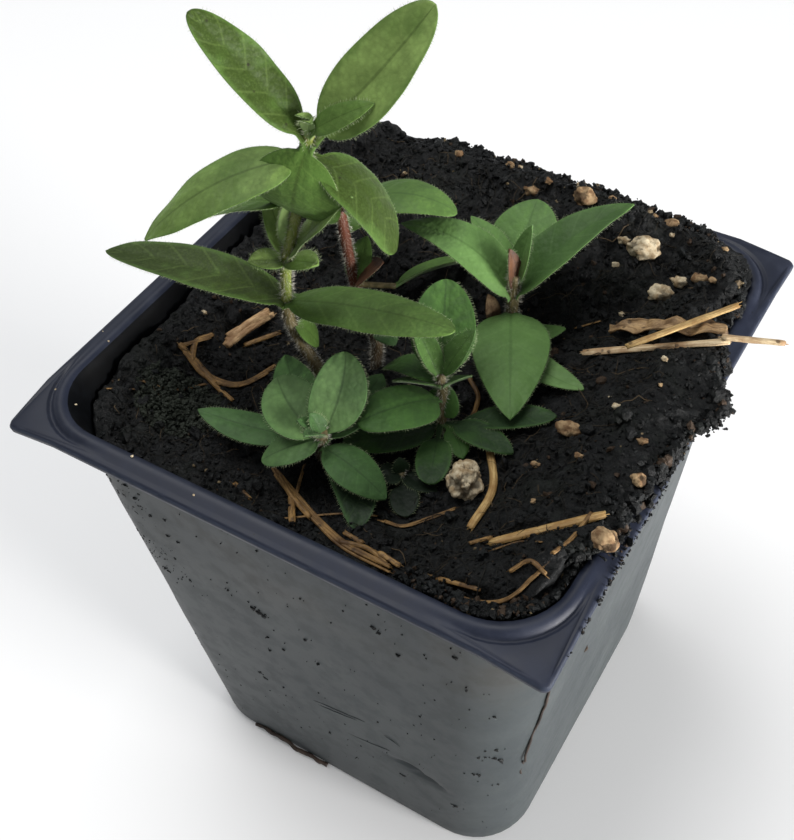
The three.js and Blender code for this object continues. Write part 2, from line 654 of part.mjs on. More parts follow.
function longer(path, extra) {
  const ends = path.map(vector);
  const [a, b] = [ends[0], ends.at(-1)];
  a.addScaledVector(ends[0].clone().sub(ends[1]).normalize(), extra);
  b.addScaledVector(ends.at(-1).clone().sub(ends.at(-2)).normalize(), extra);
  return ends.map((p) => p.toArray());
}

function soilSolid() {
  const spills = [
    soilSpill(-30, 29, 10, rightReach, 0),
    soilSpill(-31, 29, 12, backReach, 90 * degree),
  ];
  let soil = spills.reduce((sum, next) => sum.add(next), soilCore());
  for (const { plant } of Object.values(shoots)) {
    for (const { path, radius, planted = true } of plant.stems) {
      if (planted) soil = soil.subtract(stemHole(path[0], radius));
    }
  }
  for (const { path, radius } of Object.values(rods)) {
    soil = soil.subtract(rod(longer(onSoil(path), gap), radius + gap + 0.1, 6));
  }
  for (const leaf of Object.values(dryBlades)) soil = soil.subtract(blade(leaf, gap));
  for (const stone of Object.values(lumps)) soil = soil.subtract(lump(stone, gap + 0.1));
  return soil;
}

function named(name, manifold, { color, roughness }) {
  const material = new THREE.MeshStandardMaterial({ color, roughness, metalness: 0 });
  const mesh = new THREE.Mesh(geometryOf(manifold), material);
  mesh.name = name;
  return mesh;
}

const group = new THREE.Group();
group.add(named('pot', potSolid(), finishes.plastic));
group.add(named('soil', soilSolid(), finishes.soil));
for (const [name, { plant, color }] of Object.entries(shoots)) {
  group.add(named(name, shoot(plant), { color, roughness: 0.6 }));
}
for (const [name, piece] of Object.entries(rods)) {
  group.add(named(name, loosePiece(piece), finishes[piece.finish]));
}
for (const [name, leaf] of Object.entries(dryBlades)) {
  group.add(named(name, blade(leaf), finishes[leaf.finish]));
}
for (const [name, stone] of Object.entries(lumps)) {
  group.add(named(name, lump(stone), finishes[stone.finish]));
}

export default group;
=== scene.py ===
"""Looks of a young mint plant in a square nursery pot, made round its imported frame.

Lengths are in millimetres, and become metres where a mesh is made. The origin is the middle
of the pot's base, +Z is up, and each piece stands where the node that it replaces stands.
"""

import math
import random
from dataclasses import dataclass

import bmesh
import bpy
import numpy as np
from mathutils import Matrix, Vector


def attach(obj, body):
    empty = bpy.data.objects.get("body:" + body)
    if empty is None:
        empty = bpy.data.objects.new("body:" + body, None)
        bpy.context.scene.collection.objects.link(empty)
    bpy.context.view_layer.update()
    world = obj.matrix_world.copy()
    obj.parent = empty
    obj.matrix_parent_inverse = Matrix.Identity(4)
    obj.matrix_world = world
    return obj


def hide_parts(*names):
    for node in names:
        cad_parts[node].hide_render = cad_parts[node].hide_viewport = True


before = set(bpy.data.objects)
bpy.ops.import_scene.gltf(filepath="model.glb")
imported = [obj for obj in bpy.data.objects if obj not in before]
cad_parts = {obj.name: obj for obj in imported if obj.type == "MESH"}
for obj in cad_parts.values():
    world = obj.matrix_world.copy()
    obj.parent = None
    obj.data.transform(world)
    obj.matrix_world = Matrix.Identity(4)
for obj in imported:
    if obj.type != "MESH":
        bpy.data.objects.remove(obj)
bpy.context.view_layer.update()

MM = 0.001
DEGREE = math.pi / 180
Z = np.array([0.0, 0.0, 1.0])

# Camera that took the photograph, in the pot's frame
PHOTO_HEIGHT = 840
FOCAL_PIXELS = 1181.6
SENSOR = 36
CAMERA_TARGET = (-16.21, 16.46, 45.35)
CAMERA_DISTANCE = 229.8
CAMERA_AZIMUTH = 34.41
CAMERA_ELEVATION = 47.93
CAMERA_ROLL = -4.21

# Stage, in metres: lights as name, place, target, size, power and tint
FLOOR_HALF = 3.0
SKY_TINT = (0.93, 0.96, 1, 1)
SKY_STRENGTH = 0.36
LIGHTS = [
    ("key_light", (-0.3, 0.08, 0.95), (0, 0, 0.06), 0.7, 7, (1, 1, 1)),
    ("side_light", (0.95, -0.05, 0.12), (0, 0, 0.03), 0.4, 26, (1, 0.98, 0.96)),
]

# Pot
RIM_HEIGHT = 90
RIM_HALF = 44.5
BASE_HALF = 33.9
BASE_CORNER = 11.5
WALL_TOP_HALF = 40.2
WALL_TOP_CORNER = 10.6
WALL = 1
BEAD_RISE = 0.8
CORNER_DROOP = 1.2
SLOT_LENGTH = 19
SLOT_HEIGHT = 2.2
SLOT_DEPTH = 5
SLOT_MIDDLE = (-11.5, -33.9)
SLOT_SIDES = 40
FLANGE = 0.8
LIP = 1
# Steps of a ring round the pot: in a corner's arc and along a side
ARC_STEPS = 10
SIDE_STEPS = 16
# Rows of the rim: inset from its edge, corner radius, rise at the corners and along the sides
BEAD = [
    (1.1, 11.3, 0, 0.12), (1.3, 11.2, -0.1, 0.2), (1.5, 11.1, -0.3, 0.28), (1.75, 11, -0.35, 0.38),
    (2, 10.8, 0, 0.48), (2.3, 10.6, 0.5, 0.6), (2.7, 10.4, 0.75, 0.72), (3.1, 10.2, 0.8, 0.75),
    (3.5, 10, 0.65, 0.6), (3.9, 9.8, 0.3, 0.25), (4.2, 9.6, -0.2, -0.25), (4.5, 9.5, -1, -1),
    (4.9, 9.5, -2.6, -2.6),
]

# Both ends of the dent in the front wall, x and z, and its length squared
DENT = ((16, 24.5), (22, 21.9))
DENT_SPAN = 42.8
DENT_DEPTH = 1.1
DENT_HALF = 0.75

# What sticks to the pot. Dirt on the front wall: x, z and half size
WALL_BITS = [
    (-28.2, 79, 0.5), (-27.2, 76.3, 0.4), (-25.3, 72.9, 0.6), (-22.1, 73.8, 0.35),
    (-23, 68.9, 0.55), (-21.2, 68.2, 0.4), (-23.8, 61.5, 0.35), (-27.8, 55.3, 0.4), (-22.4, 55.7, 0.35),
    (-13.6, 59.7, 0.3), (-9.6, 80, 0.35), (-3.7, 78.8, 0.3), (2.3, 70.2, 0.3), (10.8, 80.3, 0.35),
    (-9.3, 57.7, 0.8), (-8.2, 57.2, 0.8), (-7.3, 56.7, 0.6), (-8.1, 48.9, 0.35), (-8.8, 43.7, 0.4),
    (0.5, 55.7, 0.3), (-5.3, 47, 0.35), (1.8, 48.6, 0.3), (-13.7, 30.8, 0.7), (-12.7, 29.4, 0.7),
    (-8.7, 29.8, 0.35), (-8.9, 26.3, 0.35), (-12.9, 24.3, 0.3), (15.2, 72.5, 0.5), (16.2, 71.8, 0.4),
    (18.8, 67.4, 0.4), (28.7, 76, 0.5), (29.9, 66.9, 0.35), (21, 49.3, 0.45), (-0.5, 19.5, 0.35),
    (4.6, 14, 0.3), (14.8, 18, 0.7), (30.4, 42, 0.4), (30.1, 34.4, 0.5), (25.3, 16.8, 0.6),
    (33.2, 40.6, 0.9), (32.9, 45.4, 0.5), (32.5, 41.9, 0.7), (33.2, 59, 0.5), (34.9, 75.6, 0.5),
]
# Dirt on the right wall: y, z and half size
RIGHT_WALL_BITS = [(-31.2, 77.6, 0.8), (-29.6, 75.2, 0.6), (-22.2, 65.4, 0.6), (-11.4, 44.8, 0.6)]
WALL_SPECKS = 300
# Scratches on the front wall: x and z of both ends
SCRATCHES = [
    ((-2.2, 31.1), (8.9, 34)), ((-1.4, 30.2), (7, 32.6)), ((12.5, 32.7), (15.5, 31.2)),
    ((4, 24), (13, 26.5)),
]
# Pale grains on the rim: x, y, z and half size
RIM_SPECKS = [
    (-41.9, -36, 89.7, 0.35), (-43.5, -23.1, 90, 0.4), (-40.6, -24.9, 90.9, 0.3),
    (-10.4, -42.3, 90.5, 0.35), (6, -42.9, 90, 0.3), (-36.3, -37.4, 90.6, 0.3),
    (-22.2, -41.3, 90.9, 0.4), (12.4, -43.2, 90, 0.25),
]
# Roots on the wall: path and radius
WALL_ROOTS = [
    ([(38.4, -28.6, 66), (38.1, -28.7, 58), (37.4, -29.3, 51), (36.4, -30, 43), (35.6, -30.4, 36)], 0.22),
    ([(35.6, -30.4, 36), (35.2, -29.4, 33), (35.1, -29.7, 29)], 0.16),
    ([(-21, -34.1, 1), (-16, -34.4, 2), (-10, -34.5, 1.5), (-4, -34.2, 0.6)], 0.4),
]

# Soil
GAP = 0.3
SOIL_MIDDLE = 83
BACK_HEAP = 12.6
RIGHT_HEAP = 9
LEFT_HEAP = 4.5
SOIL_GRAIN = 1.3
STEM_DEPTH = 12
SOIL_HALF = WALL_TOP_HALF - WALL - GAP - 0.1
SOIL_RIM = RIM_HEIGHT + BEAD_RISE + GAP
SOIL_CELLS = 240
# Loose crumbs: name, seed, count, detail, and smallest and largest half size
CRUMB_SETS = [
    ("soil_crumbs_coarse", 11, 1000, 2, (0.3, 1.1)),
    ("soil_crumbs_middle", 12, 5400, 1, (0.18, 0.55)),
    ("soil_crumbs_fine", 13, 5400, 1, (0.12, 0.3)),
]
# Crumbs on the rim: whether at the back, first and last place along it, and count
EDGE_CRUMBS = ((False, -28, 33, 1500), (True, -26, 33, 1300))
CORNER_CRUMBS = 1700
FLANGE_CRUMBS = 320
CLOD_CRUMBS = 2100
CLOD = (-28, -25.5)
CLOD_HALF = (7.5, 5.5)
FIBRES = 3400
FIBRE_STEPS = 6

# Radii of hairs, the distance between those on a margin, and how many stand round a stem
MARGIN_HAIR = 0.028
MARGIN_HAIR_GAP = 0.26
FACE_HAIR = 0.025
STEM_HAIR = 0.026
STEM_HAIRS_PER_MM = 44


# Numbers
def mix(a, b, t):
    return a + (b - a) * t


def smooth(start, end, value):
    t = np.clip((value - start) / (end - start), 0, 1)
    return t * t * (3 - 2 * t)


def lattice(x, y, z):
    wave = np.sin(x * 127.1 + y * 311.7 + z * 74.7) * 43758.5453
    return 2 * (wave - np.floor(wave)) - 1


def noise(x, y, z):
    """Smooth noise between -1 and 1, on numbers or arrays."""
    cx, cy, cz = np.floor(x), np.floor(y), np.floor(z)
    u, v, w = smooth(0, 1, x - cx), smooth(0, 1, y - cy), smooth(0, 1, z - cz)

    def edge(j, k):
        return mix(lattice(cx, cy + j, cz + k), lattice(cx + 1, cy + j, cz + k), u)

    return mix(mix(edge(0, 0), edge(1, 0), v), mix(edge(0, 1), edge(1, 1), v), w)


def unit(vector):
    return vector / np.linalg.norm(vector)


def between(a, b, start, end, place):
    return a + (b - a) * (place - start) / (end - start)


def smooth_path(points, steps):
    """Centripetal Catmull-Rom curve through the points, with that many steps to a stretch."""
    p = [np.array(q, float) for q in points]
    p = [2 * p[0] - p[1], *p, 2 * p[-1] - p[-2]]
    found = []
    for a, b, c, d in zip(p, p[1:], p[2:], p[3:]):
        knots = [0.0]
        for start, end in ((a, b), (b, c), (c, d)):
            knots.append(knots[-1] + math.sqrt(np.linalg.norm(end - start)))
        t0, t1, t2, t3 = knots
        for k in range(steps):
            t = mix(t1, t2, k / steps)
            ab = between(a, b, t0, t1, t)
            bc = between(b, c, t1, t2, t)
            cd = between(c, d, t2, t3, t)
            abc = between(ab, bc, t0, t2, t)
            bcd = between(bc, cd, t1, t3, t)
            found.append(between(abc, bcd, t1, t2, t))
    found.append(p[-2])
    return np.array(found)


# Meshes: closed shells gathered into one piece, with three marks on each point for its material
class Shells:
    def __init__(self):
        self.points = []
        self.faces = []
        self.marks = []
        self.finish = []
        self.count = 0

    def add(self, points, faces, marks=(0, 0, 0), finish=0):
        points = np.asarray(points, float).reshape(-1, 3)
        marks = np.broadcast_to(np.asarray(marks, float), points.shape)
        self.points.append(points)
        self.marks.append(marks)
        if isinstance(faces, np.ndarray):
            self.faces.extend((faces + self.count).tolist())
        else:
            self.faces.extend([tuple(i + self.count for i in face) for face in faces])
        self.finish.extend([finish] * len(faces))
        self.count += len(points)

    def mesh(self, name, materials, flat=False):
        mesh = bpy.data.meshes.new(name)
        mesh.from_pydata((np.concatenate(self.points) * MM).tolist(), [], self.faces)
        for material in materials:
            mesh.materials.append(material)
        mesh.polygons.foreach_set("material_index", self.finish)
        mesh.polygons.foreach_set("use_smooth", [not flat] * len(self.faces))
        marks = mesh.attributes.new("mark", "FLOAT_VECTOR", "POINT")
        marks.data.foreach_set("vector", np.concatenate(self.marks).astype(np.float32).ravel())
        mesh.update()
        mesh.validate()
        return mesh

    def piece(self, name, node, slot, materials, flat=False):
        piece = bpy.data.objects.new(name, self.mesh(name, materials, flat))
        bpy.context.scene.collection.objects.link(piece)
        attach(piece, "root")
        if node:
            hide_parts(node)
        return piece


def grid_faces(rows, columns, start=0, flip=False):
    faces = []
    across = columns + 1
    for i in range(rows):
        for j in range(columns):
            a = start + i * across + j
            face = (a, a + across, a + across + 1, a + 1)
            faces.append(face[::-1] if flip else face)
    return faces


def grid_border(rows, columns):
    """Points along the four sides of such a grid, once round."""
    across = columns + 1
    border = list(range(columns))
    border += [i * across + columns for i in range(rows)]
    border += [rows * across + j for j in range(columns, 0, -1)]
    border += [i * across for i in range(rows, 0, -1)]
    return border


def ring_faces(rings, sides, flip=False):
    """Faces of a shell through that many rings of points, with both ends closed."""
    faces = []
    for i in range(rings - 1):
        for k in range(sides):
            a, b = i * sides + k, i * sides + (k + 1) % sides
            faces.append((a, a + sides, b + sides, b) if flip else (a, b, b + sides, a + sides))
    first = tuple(range(sides))
    last = tuple(k + (rings - 1) * sides for k in first)
    return faces + ([first, last[::-1]] if flip else [first[::-1], last])


def slab(shells, top, bottom, marks_top, marks_bottom, finish=0):
    """A closed shell between two grids of points, each of rows by columns."""
    rows, columns = top.shape[0] - 1, top.shape[1] - 1
    layer = (rows + 1) * (columns + 1)
    faces = grid_faces(rows, columns) + grid_faces(rows, columns, layer, flip=True)
    border = grid_border(rows, columns)
    for a, b in zip(border, border[1:] + border[:1]):
        faces.append((a, b, layer + b, layer + a))
    points = np.concatenate([top.reshape(-1, 3), bottom.reshape(-1, 3)])
    marks = np.concatenate([marks_top.reshape(-1, 3), marks_bottom.reshape(-1, 3)])
    shells.add(points, faces, marks, finish)


def tube(shells, path, radii, sides, marks=(0, 0, 0), finish=0, knobs=0.0):
    """A closed tube along a path, with a radius for each point of it."""
    path = np.asarray(path, float)
    radii = np.broadcast_to(np.asarray(radii, float), (len(path),))
    ahead = np.gradient(path, axis=0)
    ahead /= np.linalg.norm(ahead, axis=1)[:, None]
    first = Z if abs(ahead[0][2]) < 0.9 else np.array([1.0, 0, 0])
    side = unit(np.cross(ahead[0], first))
    points = []
    for spot, forward, radius in zip(path, ahead, radii):
        side = unit(side - forward * np.dot(side, forward))
        third = np.cross(forward, side)
        for k in range(sides):
            angle = 2 * math.pi * k / sides
            out = math.cos(angle) * side + math.sin(angle) * third
            reach = radius
            if knobs:
                reach *= 1 + knobs * float(noise(*(spot * 1.3 + out * 1.5)))
            points.append(spot + out * reach)
    shells.add(points, ring_faces(len(path), sides), marks, finish)


def scattered(shells, middles, sizes, draw, detail=1, rough=0.4, tones=0.0, kind=0.0):
    """Many small crumbs at once, each turned and dented in its own way."""
    ball, faces = BALLS[detail]
    middles = np.asarray(middles, float)
    count = len(middles)
    turns = draw.normal(size=(count, 4))
    turns /= np.linalg.norm(turns, axis=1)[:, None]
    w, x, y, z = turns.T
    spin = np.array([
        [1 - 2 * (y * y + z * z), 2 * (x * y - w * z), 2 * (x * z + w * y)],
        [2 * (x * y + w * z), 1 - 2 * (x * x + z * z), 2 * (y * z - w * x)],
        [2 * (x * z - w * y), 2 * (y * z + w * x), 1 - 2 * (x * x + y * y)],
    ]).transpose(2, 0, 1)
    stretch = draw.uniform(0.6, 1.3, (count, 1, 3))
    dents = 1 + rough * draw.uniform(-1, 1, (count, len(ball), 1))
    if detail > 1:
        p = ball[None] * 1.7 + draw.uniform(0, 90, (count, 1, 3))
        dents = 1 + 1.6 * rough * noise(p[..., 0], p[..., 1], p[..., 2])[..., None]
    shape = ball[None] * dents * stretch * np.asarray(sizes, float).reshape(-1, 1, 1)
    points = np.einsum("nij,nvj->nvi", spin, shape) + middles[:, None, :]
    marks = np.zeros((count, len(ball), 3))
    marks[..., 0] = kind
    marks[..., 2] = np.asarray(tones, float).reshape(-1, 1)
    offsets = np.arange(count) * len(ball)
    every = np.array(faces)[None] + offsets[:, None, None]
    shells.add(points, every.reshape(-1, 3), marks.reshape(-1, 3))


def threads(shells, paths, radii, tones):
    """Many thin three-sided threads at once, each along its own row of points."""
    sides = 3
    count, steps = paths.shape[:2]
    ahead = np.gradient(paths, axis=1)
    ahead /= np.linalg.norm(ahead, axis=2)[..., None]
    side = np.cross(ahead, Z + 0.01)
    side /= np.linalg.norm(side, axis=2)[..., None]
    third = np.cross(ahead, side)
    angle = 2 * math.pi * np.arange(sides) / sides
    taper = np.ones(steps)
    taper[[0, -1]] = 0.45
    reach = radii.reshape(-1, 1, 1, 1) * taper[None, :, None, None]
    side, third = side[:, :, None, :], third[:, :, None, :]
    ring = np.cos(angle)[:, None] * side + np.sin(angle)[:, None] * third
    points = paths[:, :, None, :] + reach * ring
    faces = []
    for i in range(steps - 1):
        for k in range(sides):
            a, b = i * sides + k, i * sides + (k + 1) % sides
            faces += [(a, b, b + sides), (a, b + sides, a + sides)]
    last = (steps - 1) * sides
    for k in range(1, sides - 1):
        faces += [(0, k + 1, k), (last, last + k, last + k + 1)]
    marks = np.zeros((count, steps * sides, 3))
    marks[..., 0] = np.repeat(np.linspace(0, 1, steps), sides)
    marks[..., 2] = tones.reshape(-1, 1)
    offsets = np.arange(count) * steps * sides
    every = np.array(faces)[None] + offsets[:, None, None]
    shells.add(points, every.reshape(-1, 3), marks.reshape(-1, 3))


def spike(shells, root, tip, radius, finish=1):
    """One hair: a slim three-sided spike."""
    ahead = unit(tip - root)
    first = Z if abs(ahead[2]) < 0.9 else np.array([1.0, 0, 0])
    side = unit(np.cross(ahead, first)) * radius
    third = np.cross(ahead, side)
    ring = [root + side, root - 0.5 * side + 0.87 * third, root - 0.5 * side - 0.87 * third]
    faces = [(0, 1, 3), (1, 2, 3), (2, 0, 3), (2, 1, 0)]
    shells.add([*ring, tip], faces, finish=finish)


def ball_mesh(subdivisions):
    ball = bmesh.new()
    bmesh.ops.create_icosphere(ball, subdivisions=subdivisions, radius=1)
    points = np.array([v.co[:] for v in ball.verts])
    faces = [tuple(v.index for v in f.verts) for f in ball.faces]
    ball.free()
    return points, faces


BALLS = {size: ball_mesh(size) for size in (1, 2, 3, 4, 5)}


def pebble(shells, middle, sizes, seed, detail=2, rough=0.35, marks=(0, 0, 0)):
    """An irregular crumb or stone of those half sizes."""
    points, faces = BALLS[detail]
    shift = seed * 9.7
    p = points * 1.6 + shift
    knob = 1 + rough * noise(p[:, 0], p[:, 1], p[:, 2])
    p = points * 4.1 + shift
    knob += 0.4 * rough * noise(p[:, 0], p[:, 1], p[:, 2])
    shape = points * knob[:, None] * np.asarray(sizes, float)
    shells.add(shape + np.asarray(middle, float), faces, marks)


# Materials
def colour(red, green, blue):
    """A colour as seen on screen, 0 to 255, turned into linear light."""
    return [((c / 255) ** 2.2) for c in (red, green, blue)] + [1]


def grey(value):
    return [value] * 3 + [1]


class Finish:
    """A node material, with short calls for the nodes that the finishes here use."""

    def __init__(self, name, roughness, specular=0.5):
        self.material = bpy.data.materials.new(name)
        self.material.use_nodes = True
        self.tree = self.material.node_tree
        self.shader = self.tree.nodes["Principled BSDF"]
        self.shader.inputs["Roughness"].default_value = roughness
        self.shader.inputs["Specular IOR Level"].default_value = specular
        self.place = self.tree.nodes.new("ShaderNodeTexCoord").outputs["Object"]

    def put(self, value, socket):
        if isinstance(value, bpy.types.NodeSocket):
            self.tree.links.new(value, socket)
        else:
            socket.default_value = value

    def noise(self, size, detail=4.0, rough=0.6, stretch=None, place=None):
        """Noise whose main features are that many millimetres across."""
        node = self.tree.nodes.new("ShaderNodeTexNoise")
        node.inputs["Scale"].default_value = 1 / (size * MM)
        node.inputs["Detail"].default_value = detail
        node.inputs["Roughness"].default_value = rough
        self.put(self.stretched(stretch, place), node.inputs["Vector"])
        return node.outputs["Fac"]

    def cells(self, size):
        """Distance from the nearest of many points, that many millimetres apart."""
        node = self.tree.nodes.new("ShaderNodeTexVoronoi")
        node.inputs["Scale"].default_value = 1 / (size * MM)
        self.put(self.place, node.inputs["Vector"])
        return node.outputs["Distance"]

    def stretched(self, stretch, place):
        place = place or self.place
        if stretch is None:
            return place
        node = self.tree.nodes.new("ShaderNodeMapping")
        node.inputs["Scale"].default_value = stretch
        self.put(place, node.inputs["Vector"])
        return node.outputs["Vector"]

    def math(self, operation, a, b=0.0):
        node = self.tree.nodes.new("ShaderNodeMath")
        node.operation = operation
        self.put(a, node.inputs[0])
        self.put(b, node.inputs[1])
        return node.outputs[0]

    def times(self, a, b):
        return self.math("MULTIPLY", a, b)

    def inverse(self, value):
        return self.math("SUBTRACT", 1.0, value)

    def dots(self, spacing, start, end):
        """1 in small dots, 0 between them."""
        return self.inverse(self.step(self.cells(spacing), start, end))

    def step(self, value, start, end):
        """0 below start, 1 above end, smooth between."""
        node = self.tree.nodes.new("ShaderNodeMapRange")
        node.interpolation_type = "SMOOTHSTEP"
        self.put(value, node.inputs["Value"])
        node.inputs["From Min"].default_value = start
        node.inputs["From Max"].default_value = end
        return node.outputs["Result"]

    def blend(self, share, a, b):
        node = self.tree.nodes.new("ShaderNodeMix")
        node.data_type = "RGBA"
        self.put(share, node.inputs["Factor"])
        self.put(a, node.inputs["A"])
        self.put(b, node.inputs["B"])
        return node.outputs["Result"]

    def joined(self, x, y, z):
        """A place for noise, from streaks along x, thin ones along y and one draw for z."""
        node = self.tree.nodes.new("ShaderNodeCombineXYZ")
        for value, scale, socket in zip((x, y, z), (1, 0.012, 0.05), node.inputs):
            self.put(self.times(value, scale), socket)
        return node.outputs["Vector"]

    def marks(self):
        node = self.tree.nodes.new("ShaderNodeAttribute")
        node.attribute_name = "mark"
        parts = self.tree.nodes.new("ShaderNodeSeparateXYZ")
        self.put(node.outputs["Vector"], parts.inputs["Vector"])
        return parts.outputs["X"], parts.outputs["Y"], parts.outputs["Z"]

    def height(self):
        parts = self.tree.nodes.new("ShaderNodeSeparateXYZ")
        self.put(self.place, parts.inputs["Vector"])
        return parts.outputs["Z"]

    def colour(self, value):
        self.put(value, self.shader.inputs["Base Color"])

    def rough(self, value):
        self.put(value, self.shader.inputs["Roughness"])

    def bump(self, height, depth, strength=0.6):
        """Relief of that many millimetres."""
        node = self.tree.nodes.new("ShaderNodeBump")
        node.inputs["Strength"].default_value = strength
        node.inputs["Distance"].default_value = depth * MM
        self.put(height, node.inputs["Height"])
        self.put(node.outputs["Normal"], self.shader.inputs["Normal"])


def leaf_finish(name, main, pale, dark):
    """Leaf: marks hold the place from stalk to tip, the place across, and the leaf's tone.
    The tone has 1 added on a specked leaf and 2 on an underside."""
    f = Finish(name, 0.52, specular=0.14)
    along, across, code = f.marks()
    side = f.math("ABSOLUTE", across)
    under = f.step(code, 1.9, 1.95)
    code = f.math("SUBTRACT", code, f.times(under, 2.0))
    specked = f.step(code, 0.95, 1.0)
    tone = f.math("SUBTRACT", code, specked)
    green = f.blend(f.step(tone, 0, 0.5), dark, main)
    green = f.blend(f.step(tone, 0.5, 0.95), green, pale)
    green = f.blend(f.times(f.step(f.noise(4, detail=3), 0.35, 0.65), 0.35), green, dark)
    green = f.blend(f.times(f.step(f.noise(6, detail=2), 0.5, 0.7), 0.4), green, main)
    green = f.blend(f.times(f.step(side, 0.75, 1.0), 0.5), green, main)
    green = veined(f, green, along, side, pale, dark)
    grain = f.noise(0.3, detail=3)
    quilt = f.cells(0.8)
    green = f.blend(f.times(f.step(grain, 0.4, 0.75), 0.08), green, pale)
    green = f.blend(f.times(f.step(quilt, 0.3, 0.6), 0.12), green, dark)
    patch = f.step(f.noise(3.5, detail=3), 0.56, 0.64)
    gate = f.times(patch, f.math("ADD", f.times(specked, 0.75), 0.1))
    green = f.blend(f.times(f.dots(1.3, 0.06, 0.24), gate), green, colour(30, 26, 18))
    dull = f.blend(0.35, green, colour(96, 110, 88))
    f.colour(f.blend(under, green, dull))
    f.shader.inputs["Sheen Weight"].default_value = 0.04
    f.shader.inputs["Sheen Roughness"].default_value = 0.5
    f.bump(f.math("SUBTRACT", f.times(grain, 0.5), quilt), 0.12, 0.6)
    return f.material


def veined(f, green, along, side, pale, dark):
    """Pale side veins that slant towards the tip, and a dark middle rib."""
    slant = f.math("SUBTRACT", along, f.times(side, VEIN_SLANT))
    veins = f.step(f.math("COSINE", f.times(slant, VEIN_WAVE)), 0.9, 1.0)
    green = f.blend(f.times(veins, 0.08), green, pale)
    rib = f.inverse(f.step(side, 0.015, 0.07))
    return f.blend(f.times(rib, 0.4), green, dark)


def stem_finish():
    f = Finish("stem_skin", 0.55, specular=0.3)
    _, _, tone = f.marks()
    streak = f.noise(0.8, stretch=(1, 1, 0.2))
    purple = f.blend(f.step(streak, 0.35, 0.65), colour(62, 44, 40), colour(96, 78, 66))
    green = f.blend(f.step(streak, 0.35, 0.65), colour(92, 110, 46), colour(116, 126, 56))
    purple = f.blend(f.step(tone, 0.94, 1), purple, colour(86, 50, 36))
    f.colour(f.blend(tone, green, purple))
    f.bump(streak, 0.1)
    return f.material


def hair_finish(name, pale, dark):
    f = Finish(name, 0.5, specular=0.4)
    f.colour(f.blend(f.noise(2), pale, dark))
    return f.material


def soil_finish():
    """Damp mix: marks hold the clod's share and a crumb's tone, black to grey, brown and pale."""
    f = Finish("soil_mix", 0.8, specular=0.27)
    clod, _, tone = f.marks()
    fleck = f.noise(0.5, detail=5, rough=0.7)
    patch = f.noise(7, detail=3)
    dark = f.blend(f.step(fleck, 0.35, 0.7), colour(1, 2, 2), colour(13, 17, 18))
    dark = f.blend(f.times(f.step(tone, 0.3, 0.9), 0.6), dark, colour(20, 24, 25))
    dark = f.blend(clod, dark, colour(42, 46, 39))
    mossy = f.times(f.step(patch, 0.52, 0.68), 0.5)
    dark = f.blend(mossy, dark, colour(22, 26, 21))
    brown = f.blend(f.step(tone, 0.9, 0.91), dark, colour(56, 44, 33))
    f.colour(f.blend(f.step(tone, 0.982, 0.984), brown, colour(112, 98, 74)))
    f.rough(f.blend(f.step(fleck, 0.3, 0.7), grey(0.28), grey(0.9)))
    f.bump(fleck, 0.35, 0.9)
    return f.material


def fibre_finish():
    f = Finish("root_fibre", 0.8, specular=0.25)
    _, _, tone = f.marks()
    fleck = f.noise(0.8)
    dark = f.blend(fleck, colour(10, 11, 11), colour(44, 42, 37))
    f.colour(f.blend(f.step(tone, 0.75, 1), dark, colour(88, 74, 55)))
    return f.material


def straw_finish(name, pale, dark):
    """Straw: marks hold the place along it, the place round it, and its tone."""
    f = Finish(name, 0.6, specular=0.3)
    along, around, tone = f.marks()
    streak = f.noise(0.35, detail=3)
    patch = f.noise(3, detail=4)
    base = f.blend(f.step(patch, 0.35, 0.7), pale, dark)
    base = f.blend(f.times(f.step(streak, 0.5, 0.75), 0.5), base, dark)
    lines = f.noise(1, detail=2, place=f.joined(f.times(along, 0.004), around, tone))
    base = f.blend(f.times(f.step(lines, 0.45, 0.6), 0.75), base, dark)
    f.colour(f.blend(f.times(f.dots(1.9, 0.12, 0.22), 0.7), base, colour(50, 36, 24)))
    f.bump(streak, 0.12)
    return f.material


def stone_finish(name, pale, dark, pore):
    """Perlite or bark: the third mark is 1 in the dark seams between its grains."""
    f = Finish(name, 0.85, specular=0.2)
    patch = f.noise(1.2, detail=4)
    fine = f.noise(0.4, detail=4)
    base = f.blend(f.step(patch, 0.35, 0.65), pale, dark)
    _, _, pit = f.marks()
    pit = f.math("MINIMUM", f.math("ADD", pit, f.step(fine, 0.6, 0.75)), 0.85)
    f.colour(f.blend(pit, base, pore))
    f.bump(fine, 0.2, 0.7)
    return f.material


def plastic_finish():
    """Grey wall and blue-black rim, with a haze of dust and fine specks. The rim's blue-black is partly
    the plastic's own dark colour and partly a painted reflection of the blue sky.
    """
    f = Finish("grey_plastic", 0.5, specular=0.25)
    high = f.step(f.height(), 0.0848, 0.0872)
    haze = f.noise(16, detail=4)
    smear = f.noise(4, detail=4)
    wall = f.blend(f.step(haze, 0.35, 0.7), colour(47, 52, 54), colour(57, 62, 63))
    wall = f.blend(f.times(f.step(smear, 0.5, 0.8), 0.14), wall, colour(78, 78, 74))
    top = f.step(f.height(), 0.05, 0.086)
    wall = f.blend(f.times(top, f.step(haze, 0.4, 0.8)), wall, colour(54, 51, 47))
    # The rim's blue tint: a painted reflection of the sky on its upward faces, over the plastic's own
    # dark colour.
    rim = f.blend(f.step(smear, 0.4, 0.7), colour(33, 37, 49), colour(41, 45, 57))
    body = f.blend(high, wall, rim)
    dirt = f.times(f.dots(1.7, 0.03, 0.1), f.step(f.noise(7, detail=3), 0.52, 0.6))
    f.colour(f.blend(dirt, body, colour(20, 19, 17)))
    f.rough(f.blend(f.step(smear, 0.4, 0.7), grey(0.45), grey(0.56)))
    f.bump(smear, 0.05, 0.25)
    return f.material


